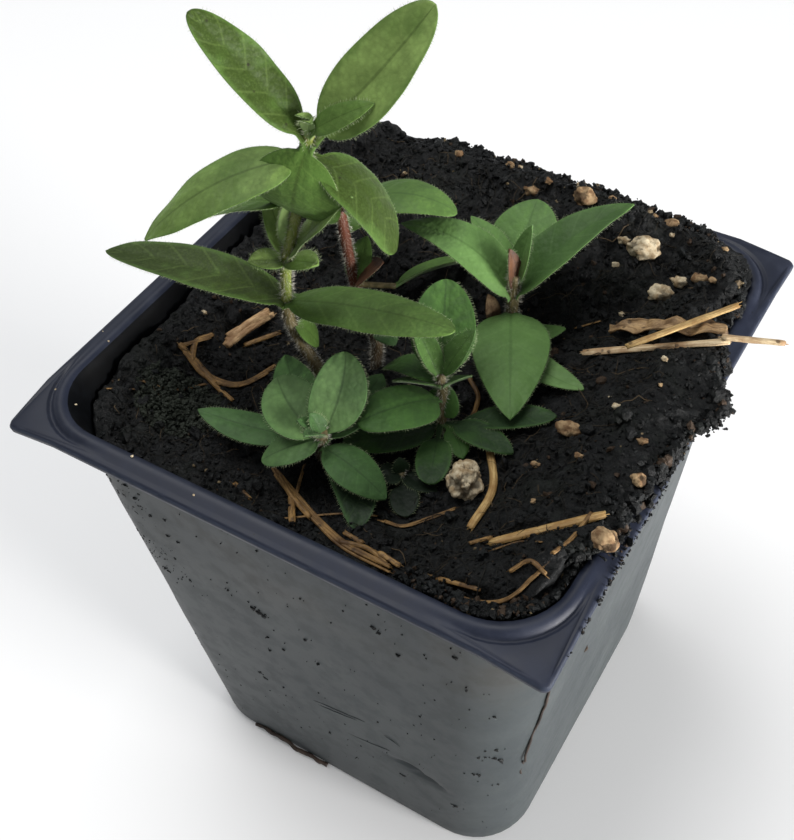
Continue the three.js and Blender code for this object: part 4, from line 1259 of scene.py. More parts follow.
SHOOTS = {
    "tall_shoot": [
        Stem([(-10.3, -10.5, 83), (-13.6, -10.4, 89), (-15.5, -11, 95), (-15.6, -11, 99)], 0.95),
        Stem(
            [
                (-15.6, -11, 98), (-14.3, -11.2, 107), (-12.3, -10.7, 114), (-10.7, -9.7, 121.5),
                (-8.6, -9.4, 129.5),
            ],
            0.8, planted=False, tone=0.2,
        ),
        Leaf(
            (-8.9, -9.7, 128.3), (-20.8, -14.3, 145.5), 7, arch=-0.3, roll=25, sweep=0.6, foot=1.5,
            end=0.85, specks=1, tone=0.08,
        ),
        Leaf(
            (-8.5, -9.2, 128.3), (4.9, 0, 145.5), 9.6, arch=0.4, roll=-38, sweep=0.7, foot=1.4, end=0.85,
            tone=0.85,
        ),
        Leaf((-8.4, -9.9, 129.6), (0.1, -7.3, 135), 3.2, arch=0.8, roll=-45, foot=0.9, tone=0.6),
        Leaf((-8.6, -9.7, 129.2), (-9.6, -10.6, 132.4), 2, dish=0.5, fuzz=2.2, tone=0.9, foot=0.7),
        Leaf((-8.4, -9.9, 129.2), (-7.2, -10.8, 132), 2, dish=0.5, fuzz=2.2, tone=0.9, foot=0.7),
        Leaf(
            (-9.6, -9.5, 125.5), (-27.2, -24.3, 115.5), 9.6, arch=3, dish=-0.12, roll=8, belly=0.36,
            foot=1.4, tone=0.7,
        ),
        Leaf(
            (-9.6, -9.3, 125.5), (1.3, -6.3, 111.5), 9.6, arch=2.6, dish=-0.1, sweep=-0.4, end=0.85,
            specks=1, foot=1.2, tone=0.08,
        ),
        Leaf(
            (-8.7, -10, 128), (-12.2, -10.1, 115.5), 13, arch=2.8, dish=-0.1, roll=101, full=0.9,
            belly=0.55, foot=1.3, tone=0.4,
        ),
        Leaf(
            (-15.4, -11, 99), (-43.6, -17.9, 102.5), 8.2, arch=1.6, dish=0.1, full=0.95, belly=0.4,
            petiole=0.02, foot=2.2, tone=0,
        ),
        Leaf(
            (-15.4, -11, 99), (10.9, -7.2, 101.5), 8.8, arch=1.4, dish=-0.1, full=0.95, petiole=0.03,
            foot=2, tone=0.55,
        ),
        Leaf((-14.4, -11.2, 107), (-17.9, -15.2, 108.5), 4.8, arch=0.3, fuzz=2.6, tone=0.85, foot=2),
        Leaf((-14.4, -11.2, 107), (-8.8, -10.9, 108.5), 4.8, arch=0.3, fuzz=2.6, tone=0.85, foot=2),
        Leaf(
            (-14.3, -11.1, 107.5), (-18.5, -8.5, 117.5), 3.8, arch=0.4, dish=0.4, foot=1, tone=0.8,
            fuzz=1.5,
        ),
        Leaf(
            (-14.3, -11.1, 107.5), (-2.8, -9.7, 121.5), 4.8, arch=0.5, dish=0.2, foot=1.2, roll=-20,
            tone=0.8, fuzz=1.5,
        ),
        Leaf((-13.8, -11, 109.5), (-12.2, -11.2, 119), 2.8, arch=0.3, dish=0.3, tone=0.85, fuzz=1.5),
        Leaf((-11.6, -10.3, 117.5), (-27.2, -11.2, 110.5), 6.5, arch=1.6),
        Leaf((-15.2, -10.9, 94.5), (-11.9, -9.6, 90), 4.4, arch=0.8),
    ],
    "back_shoot": [
        Stem([(-16, 7.2, 85.5), (-17.4, 8, 92), (-18.1, 8.1, 98.5), (-18.6, 8.4, 102)], 0.9, tone=1),
        Stem([(-16.3, 7.4, 87.5), (-10.6, 10.8, 86.8)], 0.5, planted=False),
        Leaf((-18.3, 8.2, 100.5), (-0.8, 14.2, 103), 8.6, arch=3.2, dish=-0.1, full=0.9, sweep=-1),
        Leaf((-11, 10.5, 86.8), (-0.5, 20.4, 89.3), 4.6, arch=1, dish=0.3, roll=25),
        Leaf((-18.4, 8.2, 100.5), (-27.5, 3.5, 106), 6.5, arch=1),
        Leaf((-18, 8.1, 96), (-20, 20, 99), 7, arch=1.5),
        Leaf((-16.2, 7, 87.5), (-16.5, 12.2, 94), 4.6, arch=0.6),
        Leaf((-16.2, 6.9, 87.5), (-11.8, 9.4, 92.5), 4.8, arch=0.6, full=0.9, dry=1),
    ],
    "right_shoot": [
        Stem([(9.6, 12.5, 85), (9.4, 13.5, 90), (9.4, 13.8, 95)], 1),
        Leaf(
            (9.4, 13.5, 91), (-9.5, 11.8, 99.5), 7.6, arch=4.2, dish=0.1, roll=12, sweep=0.6, belly=0.36,
            petiole=0.02, foot=1.7, tone=0.6,
        ),
        Leaf(
            (9.4, 13.7, 91), (21.7, 29.1, 102.5), 8, arch=2.6, dish=0.2, belly=0.36, petiole=0.02,
            foot=1.7, tone=0.1,
        ),
        Leaf((9.4, 14.2, 91.5), (6.6, 27, 99.5), 11, arch=0.8, full=1, sweep=-0.4, foot=1),
        Leaf((9.5, 13.7, 92), (10.6, 16.9, 103), 3.4, arch=0.4, dish=0.3),
        Leaf((9.4, 13.4, 92), (8.6, 13.6, 100), 3, arch=0.4, dish=0.3, dry=1),
        Leaf(
            (9.7, 12.4, 88.4), (20, -7.6, 88.2), 12, arch=1.6, dish=-0.12, full=1.15, belly=0.3,
            petiole=0.02, foot=1.5, tone=0.58,
        ),
        Leaf((9.7, 12.4, 85.6), (18.3, 14.5, 87), 4.4, arch=-0.4, sweep=1.2, tone=0.3),
        Leaf((9.7, 12.3, 85.6), (26.5, 3.5, 87.5), 5.4, arch=0, sweep=2.4, petiole=0.25, tone=0.7),
        Leaf((9.4, 13.6, 91), (-0.7, 18.4, 99.5), 5.2, arch=2),
    ],
    "middle_shoot": [
        Stem([(9.9, -10.1, 83), (9.5, -8.7, 89), (9.1, -8.5, 93)], 0.8),
        Leaf((9.1, -8.4, 92.4), (4, 2.4, 100.8), 9.5, arch=0.6, full=1, foot=0.8, tone=0.6),
        Leaf((9, -8.7, 92.4), (3.1, -5.8, 98.8), 3.4, arch=0.3, dish=0.4, foot=0.8, fuzz=2, tone=0.7),
        Leaf((9.2, -8.5, 92.4), (11.5, -2.5, 98), 4, arch=0.4, dish=0.3, foot=0.8, fuzz=2, tone=0.7),
        Leaf((9.5, -9, 91.4), (2.2, -10.9, 90.5), 5, arch=0.4, roll=-34, foot=1.1, tone=0.7),
        Leaf((9.5, -9, 91.4), (12.2, -4.8, 91), 4, arch=0.3, roll=38, foot=1.1, tone=0.7),
        Leaf((9.4, -8.6, 91), (-2, -6.8, 87.5), 4.6, arch=2.2),
        Leaf((9.8, -9.8, 85.6), (9.9, -7.8, 90.4), 5.6, arch=0.4, full=1),
        Leaf(
            (9.9, -10, 84.2), (25.3, -3, 87.4), 4.8, arch=0.3, petiole=0.18, belly=0.52, tone=0.1,
        ),
        Leaf((9.8, -9.8, 84.6), (22.3, -10.8, 85.4), 4.8, arch=0.8, petiole=0.2, tone=0.1),
        Leaf((9.6, -9.4, 89), (2.6, -21.1, 91.2), 9, arch=1.2, dish=-0.1, full=0.9, tone=0.35),
        Leaf(
            (9.9, -10.2, 84.6), (14.3, -21.1, 84.6), 5.2, arch=0.6, full=0.9, belly=0.5, petiole=0.3,
            tone=0.1,
        ),
        Leaf((9.9, -10.1, 84.6), (15.9, -14.2, 84), 3.8, arch=0.4, sweep=-0.6, petiole=0.25),
        Leaf((9.8, -10, 84.2), (-0.8, -20.8, 84.8), 8, arch=0.4, sweep=-0.4, tone=0.1),
    ],
    "inner_shoot": [
        Stem([(-5.8, -3.5, 83.2), (-4.9, -4, 88.5), (-4.9, -4.6, 93)], 0.9, tone=0.9),
        Leaf((-4.9, -4.7, 92.5), (-7.9, -5.9, 95), 4.6, arch=0.5, foot=0.9),
        Leaf((-4.6, -4.9, 92.5), (-0.7, -5, 91.5), 4.6, arch=0.8, foot=0.9, sweep=-0.4),
    ],
    "front_sprout": [
        Stem([(9.1, -20.4, 81.5), (9.1, -20.4, 83.6)], 0.7),
        Leaf((9.1, -20.4, 83.3), (6.9, -23, 83.4), 4.2, arch=0.4, tone=0.1),
        Leaf((9.1, -20.4, 83), (15.2, -20.6, 83), 3.4, arch=0.2, tone=0.1),
        Leaf((9.1, -20.4, 82.9), (13.6, -26.6, 82.8), 4.2, arch=0.2, full=0.9, petiole=0.3, tone=0),
        Leaf((9.1, -20.4, 83.2), (8.6, -19.9, 86), 2.4, arch=0.2),
    ],
    "front_left_shoot": [
        Stem([(-3.2, -22.6, 83), (-2.2, -23.8, 87), (-1, -24.9, 91)], 0.95),
        Leaf((-1.6, -24.6, 89), (-21.5, -27.8, 88), 5.8, arch=-0.4, dish=-0.1, petiole=0.2, sweep=-0.4),
        Leaf((-1, -24.9, 89.5), (-11.7, -20.3, 93), 9, arch=1, full=1, sweep=-1.2, tone=0.8),
        Leaf((-1.6, -24.4, 88.5), (-14.6, -14.2, 90.8), 7, arch=0.8, sweep=-0.8),
        Leaf((-1, -24.9, 90), (-3.7, -13.5, 96), 8.2, arch=1, full=1, sweep=1.1, tone=0.85),
        Leaf((-1.2, -24.6, 88.6), (-1.3, -8.4, 88), 6.6, arch=0.4, sweep=0.6),
        Leaf((-0.9, -25, 90), (-7.6, -31, 87.5), 6, arch=0.8, full=0.9, dish=-0.1, tone=0.7),
        Leaf(
            (-1, -25.2, 88.4), (10.3, -26.4, 84.6), 6.6, arch=1.2, dish=-0.1, petiole=0.04, foot=0.9,
            tone=0.35,
        ),
        Leaf(
            (-2.4, -23.7, 86), (9, -31.7, 82.9), 6.2, arch=0.2, full=0.9, petiole=0.2, sweep=-2, tone=0,
        ),
        Leaf((-1, -24.9, 90.3), (-4, -26.2, 93.5), 3, arch=0.4, dish=0.3, tone=0.5, fuzz=1.6),
        Leaf((-1, -24.9, 90.3), (-2.9, -24.6, 94), 2.8, arch=0.3, dish=0.3, tone=0.5, fuzz=1.6),
        Leaf((-1, -24.9, 90.3), (-1.1, -28.5, 94), 2.6, arch=0.4, dish=0.3, tone=0.5, fuzz=1.6),
    ],
}

# Leaf colours: main, pale and dark. The low inner_shoot and front_sprout lie under the other leaves, and
# their darker greens are partly their own colour and partly painted shade.
GREENS = {
    "tall_shoot": ((76, 104, 48), (136, 162, 90), (44, 57, 20)),
    "right_shoot": ((82, 112, 60), (116, 146, 94), (56, 80, 42)),
    "back_shoot": ((80, 108, 54), (102, 126, 66), (48, 70, 38)),
    "middle_shoot": ((66, 98, 48), (90, 116, 62), (36, 52, 33)),
    "inner_shoot": ((50, 74, 42), (70, 92, 52), (36, 52, 32)),
    "front_sprout": ((34, 48, 31), (50, 64, 40), (20, 28, 20)),
    "front_left_shoot": ((68, 98, 56), (98, 126, 78), (35, 48, 33)),
}

LEAF_TIP_HALF = 0.12
LEAF_THICKNESS = 0.34
# Side veins over a leaf's length, and how far each slants on its way to the margin
VEINS = 5.5
VEIN_SLANT = 0.16
# Radians of the veins' wave over a leaf's length, in its colour
VEIN_WAVE = 34.6


class Blade:
    """A leaf's surface: a place along it and across it gives a point."""

    def __init__(self, leaf):
        self.leaf = leaf
        self.start = np.array(leaf.root, float)
        self.chord = np.array(leaf.tip, float) - self.start
        self.length = np.linalg.norm(self.chord)
        along = self.chord / self.length
        level = unit(np.cross(along, Z))
        face = np.cross(level, along)
        turn = leaf.roll * DEGREE
        self.side = level * math.cos(turn) + face * math.sin(turn)
        self.up = np.cross(self.side, along)
        self.along = along

    def outline(self, s, full):
        """Share of the full width: 1 at the belly, 0 at both ends."""
        belly = self.leaf.belly
        return (s / belly) ** (belly * full) * ((1 - s) / (1 - belly)) ** ((1 - belly) * full)

    def half(self, u):
        """Half the leaf's width at a place along it."""
        leaf = self.leaf
        s = np.clip((u - leaf.petiole) / (1 - leaf.petiole), 0, 1)
        front, back = self.outline(s, leaf.full), self.outline(s, leaf.end or leaf.full)
        narrow = mix(leaf.foot, LEAF_TIP_HALF, np.sqrt(u))
        wide = np.where(s < leaf.belly, front, back)
        if leaf.dry > 1:
            wide = wide * (1 + 0.4 * noise(u * self.length / 1.7, 3.3, 5.1))
        return np.maximum(narrow, leaf.width / 2 * wide)

    def wave(self, u, v):
        """Ripples of the margin, pillows between side veins, the sunken rib, and a dry leaf's
        crumples."""
        leaf = self.leaf
        seed = leaf.root[0] + leaf.tip[1]
        size = min(1.0, leaf.width / 8)
        ripple = 0.35 * size * noise(u * self.length / 4 + seed, v * 0.7 + 3, seed) * np.abs(v) ** 2
        pillow = -0.07 * size * np.cos(2 * math.pi * VEINS * (u - VEIN_SLANT * np.abs(v)))
        pillow = pillow * smooth(0.05, 0.4, np.abs(v)) * smooth(1, 0.8, np.abs(v))
        rib = -0.22 * size * np.exp(-((v * self.half(u) / 0.45) ** 2)) * smooth(1, 0.6, u)
        crumple = 0.0
        if leaf.dry > 1:
            crumple = 1.1 * noise(u * self.length / 2.6, v * 1.4, seed)
            crumple = crumple + 0.4 * noise(u * self.length / 1.1, v * 3, seed)
        return ripple + pillow + rib + crumple

    def surface(self, u, v, lift=0.0):
        leaf = self.leaf
        reach = self.half(u)
        bow = 4 * u * (1 - u)
        rise = leaf.arch * bow + leaf.dish * reach * np.abs(v) ** 1.5 + self.wave(u, v) + lift
        out = reach * v + leaf.sweep * bow
        return (
            self.start
            + self.chord * np.asarray(u)[..., None]
            + self.side * np.asarray(out)[..., None]
            + self.up * np.asarray(rise)[..., None]
        )


def leaf_shell(shells, leaf):
    """The blade: two skins a leaf's thickness apart, with a raised rib underneath."""
    blade = Blade(leaf)
    rows = 38 if blade.length > 14 else 26 if blade.length > 8 else 18
    columns = 16 if leaf.width > 5 else 10
    even = np.linspace(0, 1, rows + 1)
    u = mix(even, 0.5 - 0.5 * np.cos(math.pi * even), 0.8)[:, None]
    quarter = math.pi / 2 * 0.96
    v = np.sin(np.linspace(1, -1, columns + 1) * quarter)[None, :] / math.sin(quarter)
    u, v = np.broadcast_arrays(u, v)
    thin = LEAF_THICKNESS * (1 - 0.6 * np.abs(v) ** 3)
    ridge = 0.3 * np.exp(-((v * blade.half(u) / 0.4) ** 2)) * (1 - u) ** 0.5
    top = blade.surface(u, v, thin / 2)
    bottom = blade.surface(u, v, -thin / 2 - ridge)
    code = leaf.tone + leaf.specks
    above = np.stack([u, v, np.full_like(u, code)], axis=-1)
    below = np.stack([u, v, np.full_like(u, code + 2)], axis=-1)
    slab(shells, top, bottom, above, below, finish=3 if leaf.dry else 0)
    return blade


def leaf_hairs(shells, blade, rng):
    """Fine hairs that stand out of the margin, and short ones on a furry leaf's face."""
    leaf = blade.leaf
    count = int(blade.length / MARGIN_HAIR_GAP * min(1.5, leaf.fuzz))
    for edge in (1, -1):
        for k in range(count):
            u = (k + rng.random()) / count
            if u > 0.96:
                continue
            root = blade.surface(u, edge * 0.99)
            length = rng.uniform(0.35, 0.65) * leaf.fuzz**0.5
            lean = rng.uniform(0.0, 0.5)
            up = rng.uniform(-0.5, 0.4)
            away = unit(edge * blade.side + lean * blade.along + up * blade.up)
            spike(shells, root, root + length * away, MARGIN_HAIR)
    for _ in range(int(blade.length * leaf.width * 1.5 * (leaf.fuzz - 1))):
        u = rng.uniform(0.05, 0.95)
        v = rng.uniform(-0.9, 0.9)
        root = blade.surface(u, v, LEAF_THICKNESS / 2 - 0.02)
        lean = rng.uniform(-0.3, 0.9)
        away = unit(blade.up + lean * blade.along + rng.uniform(-0.5, 0.5) * blade.side)
        spike(shells, root, root + rng.uniform(0.2, 0.4) * away, FACE_HAIR)


def stem_shell(shells, stem, rng):
    """A knobbly stem, from its hole in the soil up, with hairs all round it."""
    foot = stem.path[0]
    path = stem.path
    if stem.planted:
        path = [(foot[0], foot[1], foot[2] - STEM_DEPTH), (foot[0], foot[1], foot[2] - 2)] + path
    line = smooth_path(path, 8)
    tube(shells, line, stem.radius, 12, marks=(0, 0, stem.tone), finish=2, knobs=0.1)
    low = foot[2] - 1 if stem.planted else foot[2]
    ahead = np.gradient(line, axis=0)
    for spot, forward in zip(line, ahead):
        if spot[2] < low:
            continue
        for _ in range(int(STEM_HAIRS_PER_MM * np.linalg.norm(forward)) + 3):
            angle = rng.uniform(0, 2 * math.pi)
            forward = unit(forward)
            side = unit(np.cross(forward, (0.3, 0.9, 0.1)))
            out = math.cos(angle) * side + math.sin(angle) * np.cross(forward, side)
            root = spot + out * stem.radius * 0.95 + forward * rng.uniform(-0.8, 0.8)
            tip = root + out * rng.uniform(0.4, 0.95) + forward * rng.uniform(-0.25, 0.25)
            spike(shells, root, tip, STEM_HAIR, finish=4)


def make_shoot(name, parts, materials, seed):
    """A stem with its leaves. Finishes: 0 leaf, 1 leaf hair, 2 stem, 3 withered leaf, 4 stem hair."""
    shells = Shells()
    rng = random.Random(seed)
    for part in parts:
        if isinstance(part, Stem):
            stem_shell(shells, part, rng)
        else:
            leaf_hairs(shells, leaf_shell(shells, part), rng)
    shells.piece(name + "_leaves", name, name + "_leaf", materials)


# Straws and twigs: a path holds x, y and the height of its middle over the soil there. Slim is
# the stalk's own share of the radius. A tail or branch is a second, thinner stalk.
RODS = {
    "straw_long": {
        "path": [(23, 11.2, 1.6), (42.8, 16.6, 1.2)], "radius": 0.8, "slim": 0.78, "look": "cream",
        "tail": [(42, 16.6, 1.5), (50, 19.4, 1.2)], "tail_radius": 0.5,
    },
    "straw_slanting": {
        "path": [(30, 10.4, 3.3), (41.8, 22.2, 2.8)], "radius": 0.7, "slim": 0.75, "look": "straw",
    },
    "root_strand": {
        "path": [(9.9, -28.4, 0.4), (13.8, -27.9, 0.4), (16.3, -25.3, 0.4), (19.6, -21.8, 0.4)],
        "radius": 0.5, "slim": 0.6, "look": "twig",
    },
    "straw_front": {
        "path": [(27.7, -27.6, 0.5), (40, -19.8, 0.6)], "radius": 0.95, "slim": 0.7, "look": "straw",
    },
    "straw_middle": {
        "path": [(17.9, -9.9, 0.5), (22.6, -17.6, 0.4), (23.3, -25.4, 0.5)],
        "radius": 0.8, "slim": 0.75, "look": "straw",
    },
    "twig_front": {
        "path": [
            (-8.4, -28.5, 0.6), (-2.6, -31.1, 0.5), (3.3, -33.4, 0.5),
            (8.7, -35.2, 0.5), (17.5, -35.8, 0.5),
        ],
        "radius": 0.85, "slim": 0.72, "look": "twig",
        "branches": [
            ([(-6, -29.5, 0.7), (-2, -32, 0.9), (2, -33.6, 0.7)], 0.4),
            ([(8, -35, 0.6), (12, -34.4, 0.9), (15.5, -34.9, 0.6)], 0.35),
        ],
    },
    "twig_left": {
        "path": [(-32.8, -17.5, 0.5), (-28, -18.7, 0.5), (-22.6, -17.2, 0.5), (-19.3, -12, 0.6)],
        "radius": 0.8, "slim": 0.7, "look": "twig",
        "branches": [
            ([(-28, -18.7, 0.6), (-25, -19.6, 0.8), (-21.5, -20.5, 0.5)], 0.35),
            ([(-31, -18, 0.6), (-32.6, -14.6, 0.8), (-31.6, -11.8, 0.6)], 0.45),
        ],
    },
    "twig_corner": {
        "path": [(26.9, -36.6, 0.4), (30.3, -36.6, 0.4), (34.2, -35.6, 0.4), (37, -31, 0.4)],
        "radius": 0.6, "slim": 0.6, "look": "twig",
    },
}

DRY_LEAVES = {
    "dead_leaf": Leaf((24.6, 16.4, 88.6), (42, 18.6, 94), 4, arch=0.4, dish=0.1, full=0.7, dry=2),
    "dead_bract": Leaf((7.4, 11.4, 85.2), (5.8, 12, 91), 3, arch=0.3),
}

# Stones and chips: place, half sizes, share of the height that the middle lies over the soil,
# number of grains that it is grown from, and how fine its mesh is
LUMPS = {
    "perlite_ball": {
        "at": (18.7, -18.7), "size": (2.8, 2.9, 2.8), "rise": 0.95, "seed": 1, "grains": 60, "fine": 5,
    },
    "perlite_pair": {"at": (29.2, 24.9), "size": (2.2, 1.7, 1.5), "seed": 2, "grains": 30},
    "perlite_back": {"at": (23.8, 30.6), "size": (2.9, 2.2, 1.9), "seed": 3, "grains": 40},
    "bark_back": {"at": (11, 35.4), "size": (2.2, 1.8, 1.5), "seed": 4, "grains": 30},
    "bark_rim": {"at": (42, -23.8), "size": (2, 1.7, 1.5), "seed": 5, "grains": 26},
    "bark_middle": {"at": (28.7, -6.2), "size": (2.1, 1.3, 1.3), "seed": 6, "grains": 26},
    "bark_right": {"at": (41.8, -12.6), "size": (1.2, 1, 1), "seed": 7, "grains": 20},
    "bark_left": {"at": (-28, -7.2), "size": (5, 1.3, 1.2), "seed": 8, "turn": 76, "plank": True},
}

# Small loose chips: x, y and half size
PALE_CHIPS = [
    (30.9, 27.9, 1.1), (33.4, -1, 0.6), (8.3, 40.3, 0.9), (25, 20.4, 0.5), (-35, -9.2, 0.5),
    (19.9, 31, 0.9), (20.6, 27.6, 0.7), (26.5, 35.5, 0.5), (-20, 30, 0.4), (-3, 40, 0.4),
    (31, 2.4, 0.3), (36, 9.7, 0.5),
]
TAN_CHIPS = [
    (39.4, -5.9, 0.7), (33.7, 29.3, 1.2), (25.3, 38.4, 1.3), (22.1, 38.6, 0.6), (4.3, 35.5, 0.7),
    (1.9, 34, 1.2), (-13, 36.7, 0.8), (37.4, 5, 0.4), (27, -13.3, 0.6), (32.5, -11.2, 0.6),
    (22.2, -16.6, 0.5), (35.9, 28.5, 0.6), (-4, 38, 0.8), (14.5, 38.5, 0.7), (30, -20, 0.4),
    (-12, 28, 0.6), (35, 36, 0.5),
]
# Thin straws, roots and splinters on the soil: path of places, height over the soil and radius
STRAW_BITS = [
    ([(-2.5, -31.8), (0.8, -36.1)], 0.5, 0.45),
    ([(-4.7, -25.3), (-2.2, -30.9)], 0.5, 0.25),
    ([(-27, -9.6), (-23.2, -5.1)], 0.3, 0.45),
    ([(-33.8, -17), (-30.1, -17.6), (-26, -19.1)], 0.4, 0.5),
    ([(-31.5, -12.6), (-33.4, -16.6)], 0.5, 0.35),
    ([(19.7, -35.6), (25.3, -35.8), (30.3, -35.5)], 0.3, 0.35),
    ([(33.1, -32.6), (35, -31), (37.5, -31.7)], 0.4, 0.3),
    ([(37.2, -29), (38, -25.1), (38.4, -20.1)], 0.5, 0.3),
    ([(8.9, 0.5), (11.8, -2.1), (13.3, -6.8)], 0.5, 0.35),
    ([(7.7, -33.4), (10.9, -33.8)], 0.4, 0.35),
    ([(14.1, -34.3), (17.6, -34.8)], 0.4, 0.4),
    ([(-11.1, -33.8), (-7.4, -35.1)], 0.2, 0.3),
    ([(-2, -36.5), (5.1, -30.7), (9.5, -27.9)], 0.3, 0.16),
    ([(22.6, 17.7), (19, 16.4)], 0.6, 0.15),
    ([(29, -29.5), (31.5, -27), (34.8, -27.2)], 0.3, 0.12),
    ([(27.4, -27), (25.6, -29.6)], 0.5, 0.3),
    ([(-34, -26), (-30, -24), (-27, -20)], 0.4, 0.2),
    ([(-38, -30), (-34.5, -27)], 0.4, 0.16),
]


# Points round a dry stalk
STALK_SIDES = 28


def lump_middle(stone):
    x, y = stone["at"]
    return x, y, float(soil_height(x, y)) + stone["size"][2] * stone.get("rise", 0.45)


def lying_lines():
    """Middle lines and radii of all that lies on the soil."""
    lines = []
    for rod in RODS.values():
        lines.append((smooth_path(on_soil(rod["path"]), 3), rod["radius"]))
        if "tail" in rod:
            lines.append((smooth_path(on_soil(rod["tail"]), 2), rod["tail_radius"]))
    for leaf in DRY_LEAVES.values():
        lines.append((np.array([leaf.root, leaf.tip], float), leaf.width / 3))
    for stone in LUMPS.values():
        x, y, high = lump_middle(stone)
        middle = np.array([x, y, high - 0.3 * stone["size"][2]])
        lines.append((np.array([middle, middle + [0.1, 0, 0]]), 0.6 * max(stone["size"][:2])))
    return lines


def on_soil(path):
    """The path with its heights over the soil turned into heights."""
    return [(x, y, float(soil_height(x, y)) + above) for x, y, above in path]


def stalk(shells, path, radius, ribs, rng, flat=0.8, splinters=4):
    """A dry stalk: flattened, ribbed along its length, with ragged ends that split."""
    line = smooth_path(path, 14)
    ahead = np.gradient(line, axis=0)
    ahead /= np.linalg.norm(ahead, axis=1)[:, None]
    side = np.cross(ahead, Z)
    side /= np.linalg.norm(side, axis=1)[:, None]
    third = np.cross(side, ahead)
    rows, sides = len(line), STALK_SIDES
    angle = 2 * math.pi * np.arange(sides) / sides
    seed = rng.uniform(0, 50)
    place = np.linspace(0, 1, rows)[:, None]
    reach = 1 + 0.06 * np.cos(ribs * angle + 2.5 * noise(place * 4, seed, 0.3))
    reach = reach * (1 + 0.12 * noise(place * 7, seed, 1.7))
    reach = reach * (1 - 0.15 * np.abs(2 * place - 1) ** 20)
    out = np.cos(angle)[:, None] * side[:, None] + flat * np.sin(angle)[:, None] * third[:, None]
    points = line[:, None] + radius * reach[..., None] * out
    ends = np.where(place < 0.5, -1, 1) * np.abs(2 * place - 1) ** 10
    torn = ends * (0.4 + 0.6 * noise(angle * 2.2, seed, 4.4))
    points = points + (torn * 0.8 * radius)[..., None] * ahead[:, None]
    marks = np.zeros((rows, sides, 3))
    marks[..., 0] = place
    marks[..., 1] = angle / (2 * math.pi)
    marks[..., 2] = rng.random()
    shells.add(points, ring_faces(rows, sides, flip=True), marks.reshape(-1, 3))
    for k in range(splinters):
        end, way = (0, -1) if k % 2 else (-1, 1)
        forth, across = way * ahead[end], side[end] * radius
        root = line[end] - forth * 1.2 + across * rng.uniform(-0.8, 0.8)
        tip = root + forth * rng.uniform(1.4, 2.2) + across * rng.uniform(-0.3, 0.3)
        tip = tip + Z * rng.uniform(-0.1, 0.2) * radius
        radii = [0.2 * radius, 0.16 * radius, 0.08 * radius]
        tube(shells, [root, (root + tip) / 2, tip], radii, 5, marks=(0, 0, rng.random()))


def strands(shells, path, radius, rng, count=5, thick=0.38, spread=1.5):
    """A split twig: thin strands that run side by side and part at their ends."""
    side = unit(np.cross(unit(path[-1] - path[0]), Z))
    for k in range(count):
        shift = (k / (count - 1) - 0.5) * spread * radius
        own = []
        for spot in path:
            off = shift + rng.gauss(0, 0.22) * radius
            own.append(spot + side * off + Z * rng.gauss(0, 0.16) * radius)
        own[0] = mix(own[0], own[1], rng.uniform(0, 0.3))
        own[-1] = mix(own[-1], own[-2], rng.uniform(0, 0.3))
        stalk(shells, own, radius * thick * rng.uniform(0.8, 1.2), 4, rng, splinters=2)


def make_rod(name, rod, looks, seed):
    """A straw as one stalk, or a twig split in strands, with its tail or branches."""
    shells = Shells()
    rng = random.Random(seed)
    look = rod["look"]
    radius = rod["slim"] * rod["radius"]
    if look == "twig":
        strands(shells, np.array(on_soil(rod["path"])), radius, rng)
    else:
        stalk(shells, on_soil(rod["path"]), radius, 9 if look == "straw" else 5, rng, flat=0.6)
    if "tail" in rod:
        stalk(shells, on_soil(rod["tail"]), rod["tail_radius"], 5, rng)
    for path, thin in rod.get("branches", []):
        stalk(shells, on_soil(path), thin, 4, rng, splinters=2)
    slot = "twig" if look == "twig" else "straw"
    shells.piece(name + "_stalk", name, slot, [looks[look]])


def make_straw_bits(material):
    """The thin straws and splinters that replace no node."""
    shells = Shells()
    rng = random.Random(77)
    for path, above, radius in STRAW_BITS:
        line = [(x, y, float(soil_top(x, y)) + above) for x, y in path]
        stalk(shells, line, radius, 4, rng, splinters=2)
    shells.piece("straw_bits", None, "straw", [material])


def cluster(shells, middle, sizes, seed, grains, detail):
    """A stone grown together from round grains, with dark seams between them."""
    points, faces = BALLS[detail]
    draw = np.random.default_rng(seed)
    knots = draw.normal(size=(grains, 3))
    knots /= np.linalg.norm(knots, axis=1)[:, None]
    spread = (1.1 + 3.2 * draw.random(grains) ** 2) / math.sqrt(grains)
    apart = np.arccos(np.clip(points @ knots.T, -1, 1)) / spread
    bump = np.sqrt(np.clip(1 - apart**2, 0, 1)).max(axis=1)
    p = points * 5 + seed
    q = points * 1.9 + 3 * seed
    reach = 0.8 + 0.16 * bump + 0.09 * noise(p[:, 0], p[:, 1], p[:, 2])
    reach = reach + 0.2 * noise(q[:, 0], q[:, 1], q[:, 2])
    marks = np.zeros((len(points), 3))
    marks[:, 2] = 0.7 * (1 - smooth(0, 0.3, bump))
    shells.add(points * reach[:, None] * np.asarray(sizes, float) + middle, faces, marks)


def make_lump(name, stone, material, slot):
    """A stone or chip that replaces a node, or the strip of split bark."""
    shells = Shells()
    middle = np.array(lump_middle(stone))
    seed = stone["seed"]
    if "plank" in stone:
        turn = stone["turn"] * DEGREE
        run = stone["size"][0] * np.array([math.cos(turn), math.sin(turn), 0])
        line = np.array([middle - run, middle + 0.2 * Z, middle + run + 0.3 * Z])
        strands(shells, line, stone["size"][1], random.Random(seed), thick=0.5, spread=1.2)
    else:
        cluster(shells, middle, stone["size"], seed, stone["grains"], stone.get("fine", 4))
    shells.piece(name + "_chip", name, slot, [material])


def make_loose_chips(name, chips, material, slot):
    """Small chips that lie on the soil: place and half size."""
    shells = Shells()
    for k, (x, y, size) in enumerate(chips):
        high = float(soil_top(x, y)) + 0.35 * size
        pebble(shells, (x, y, high), (size, 0.8 * size, 0.7 * size), 20 + 3 * k, detail=3, rough=0.5)
    shells.piece(name, None, slot, [material])


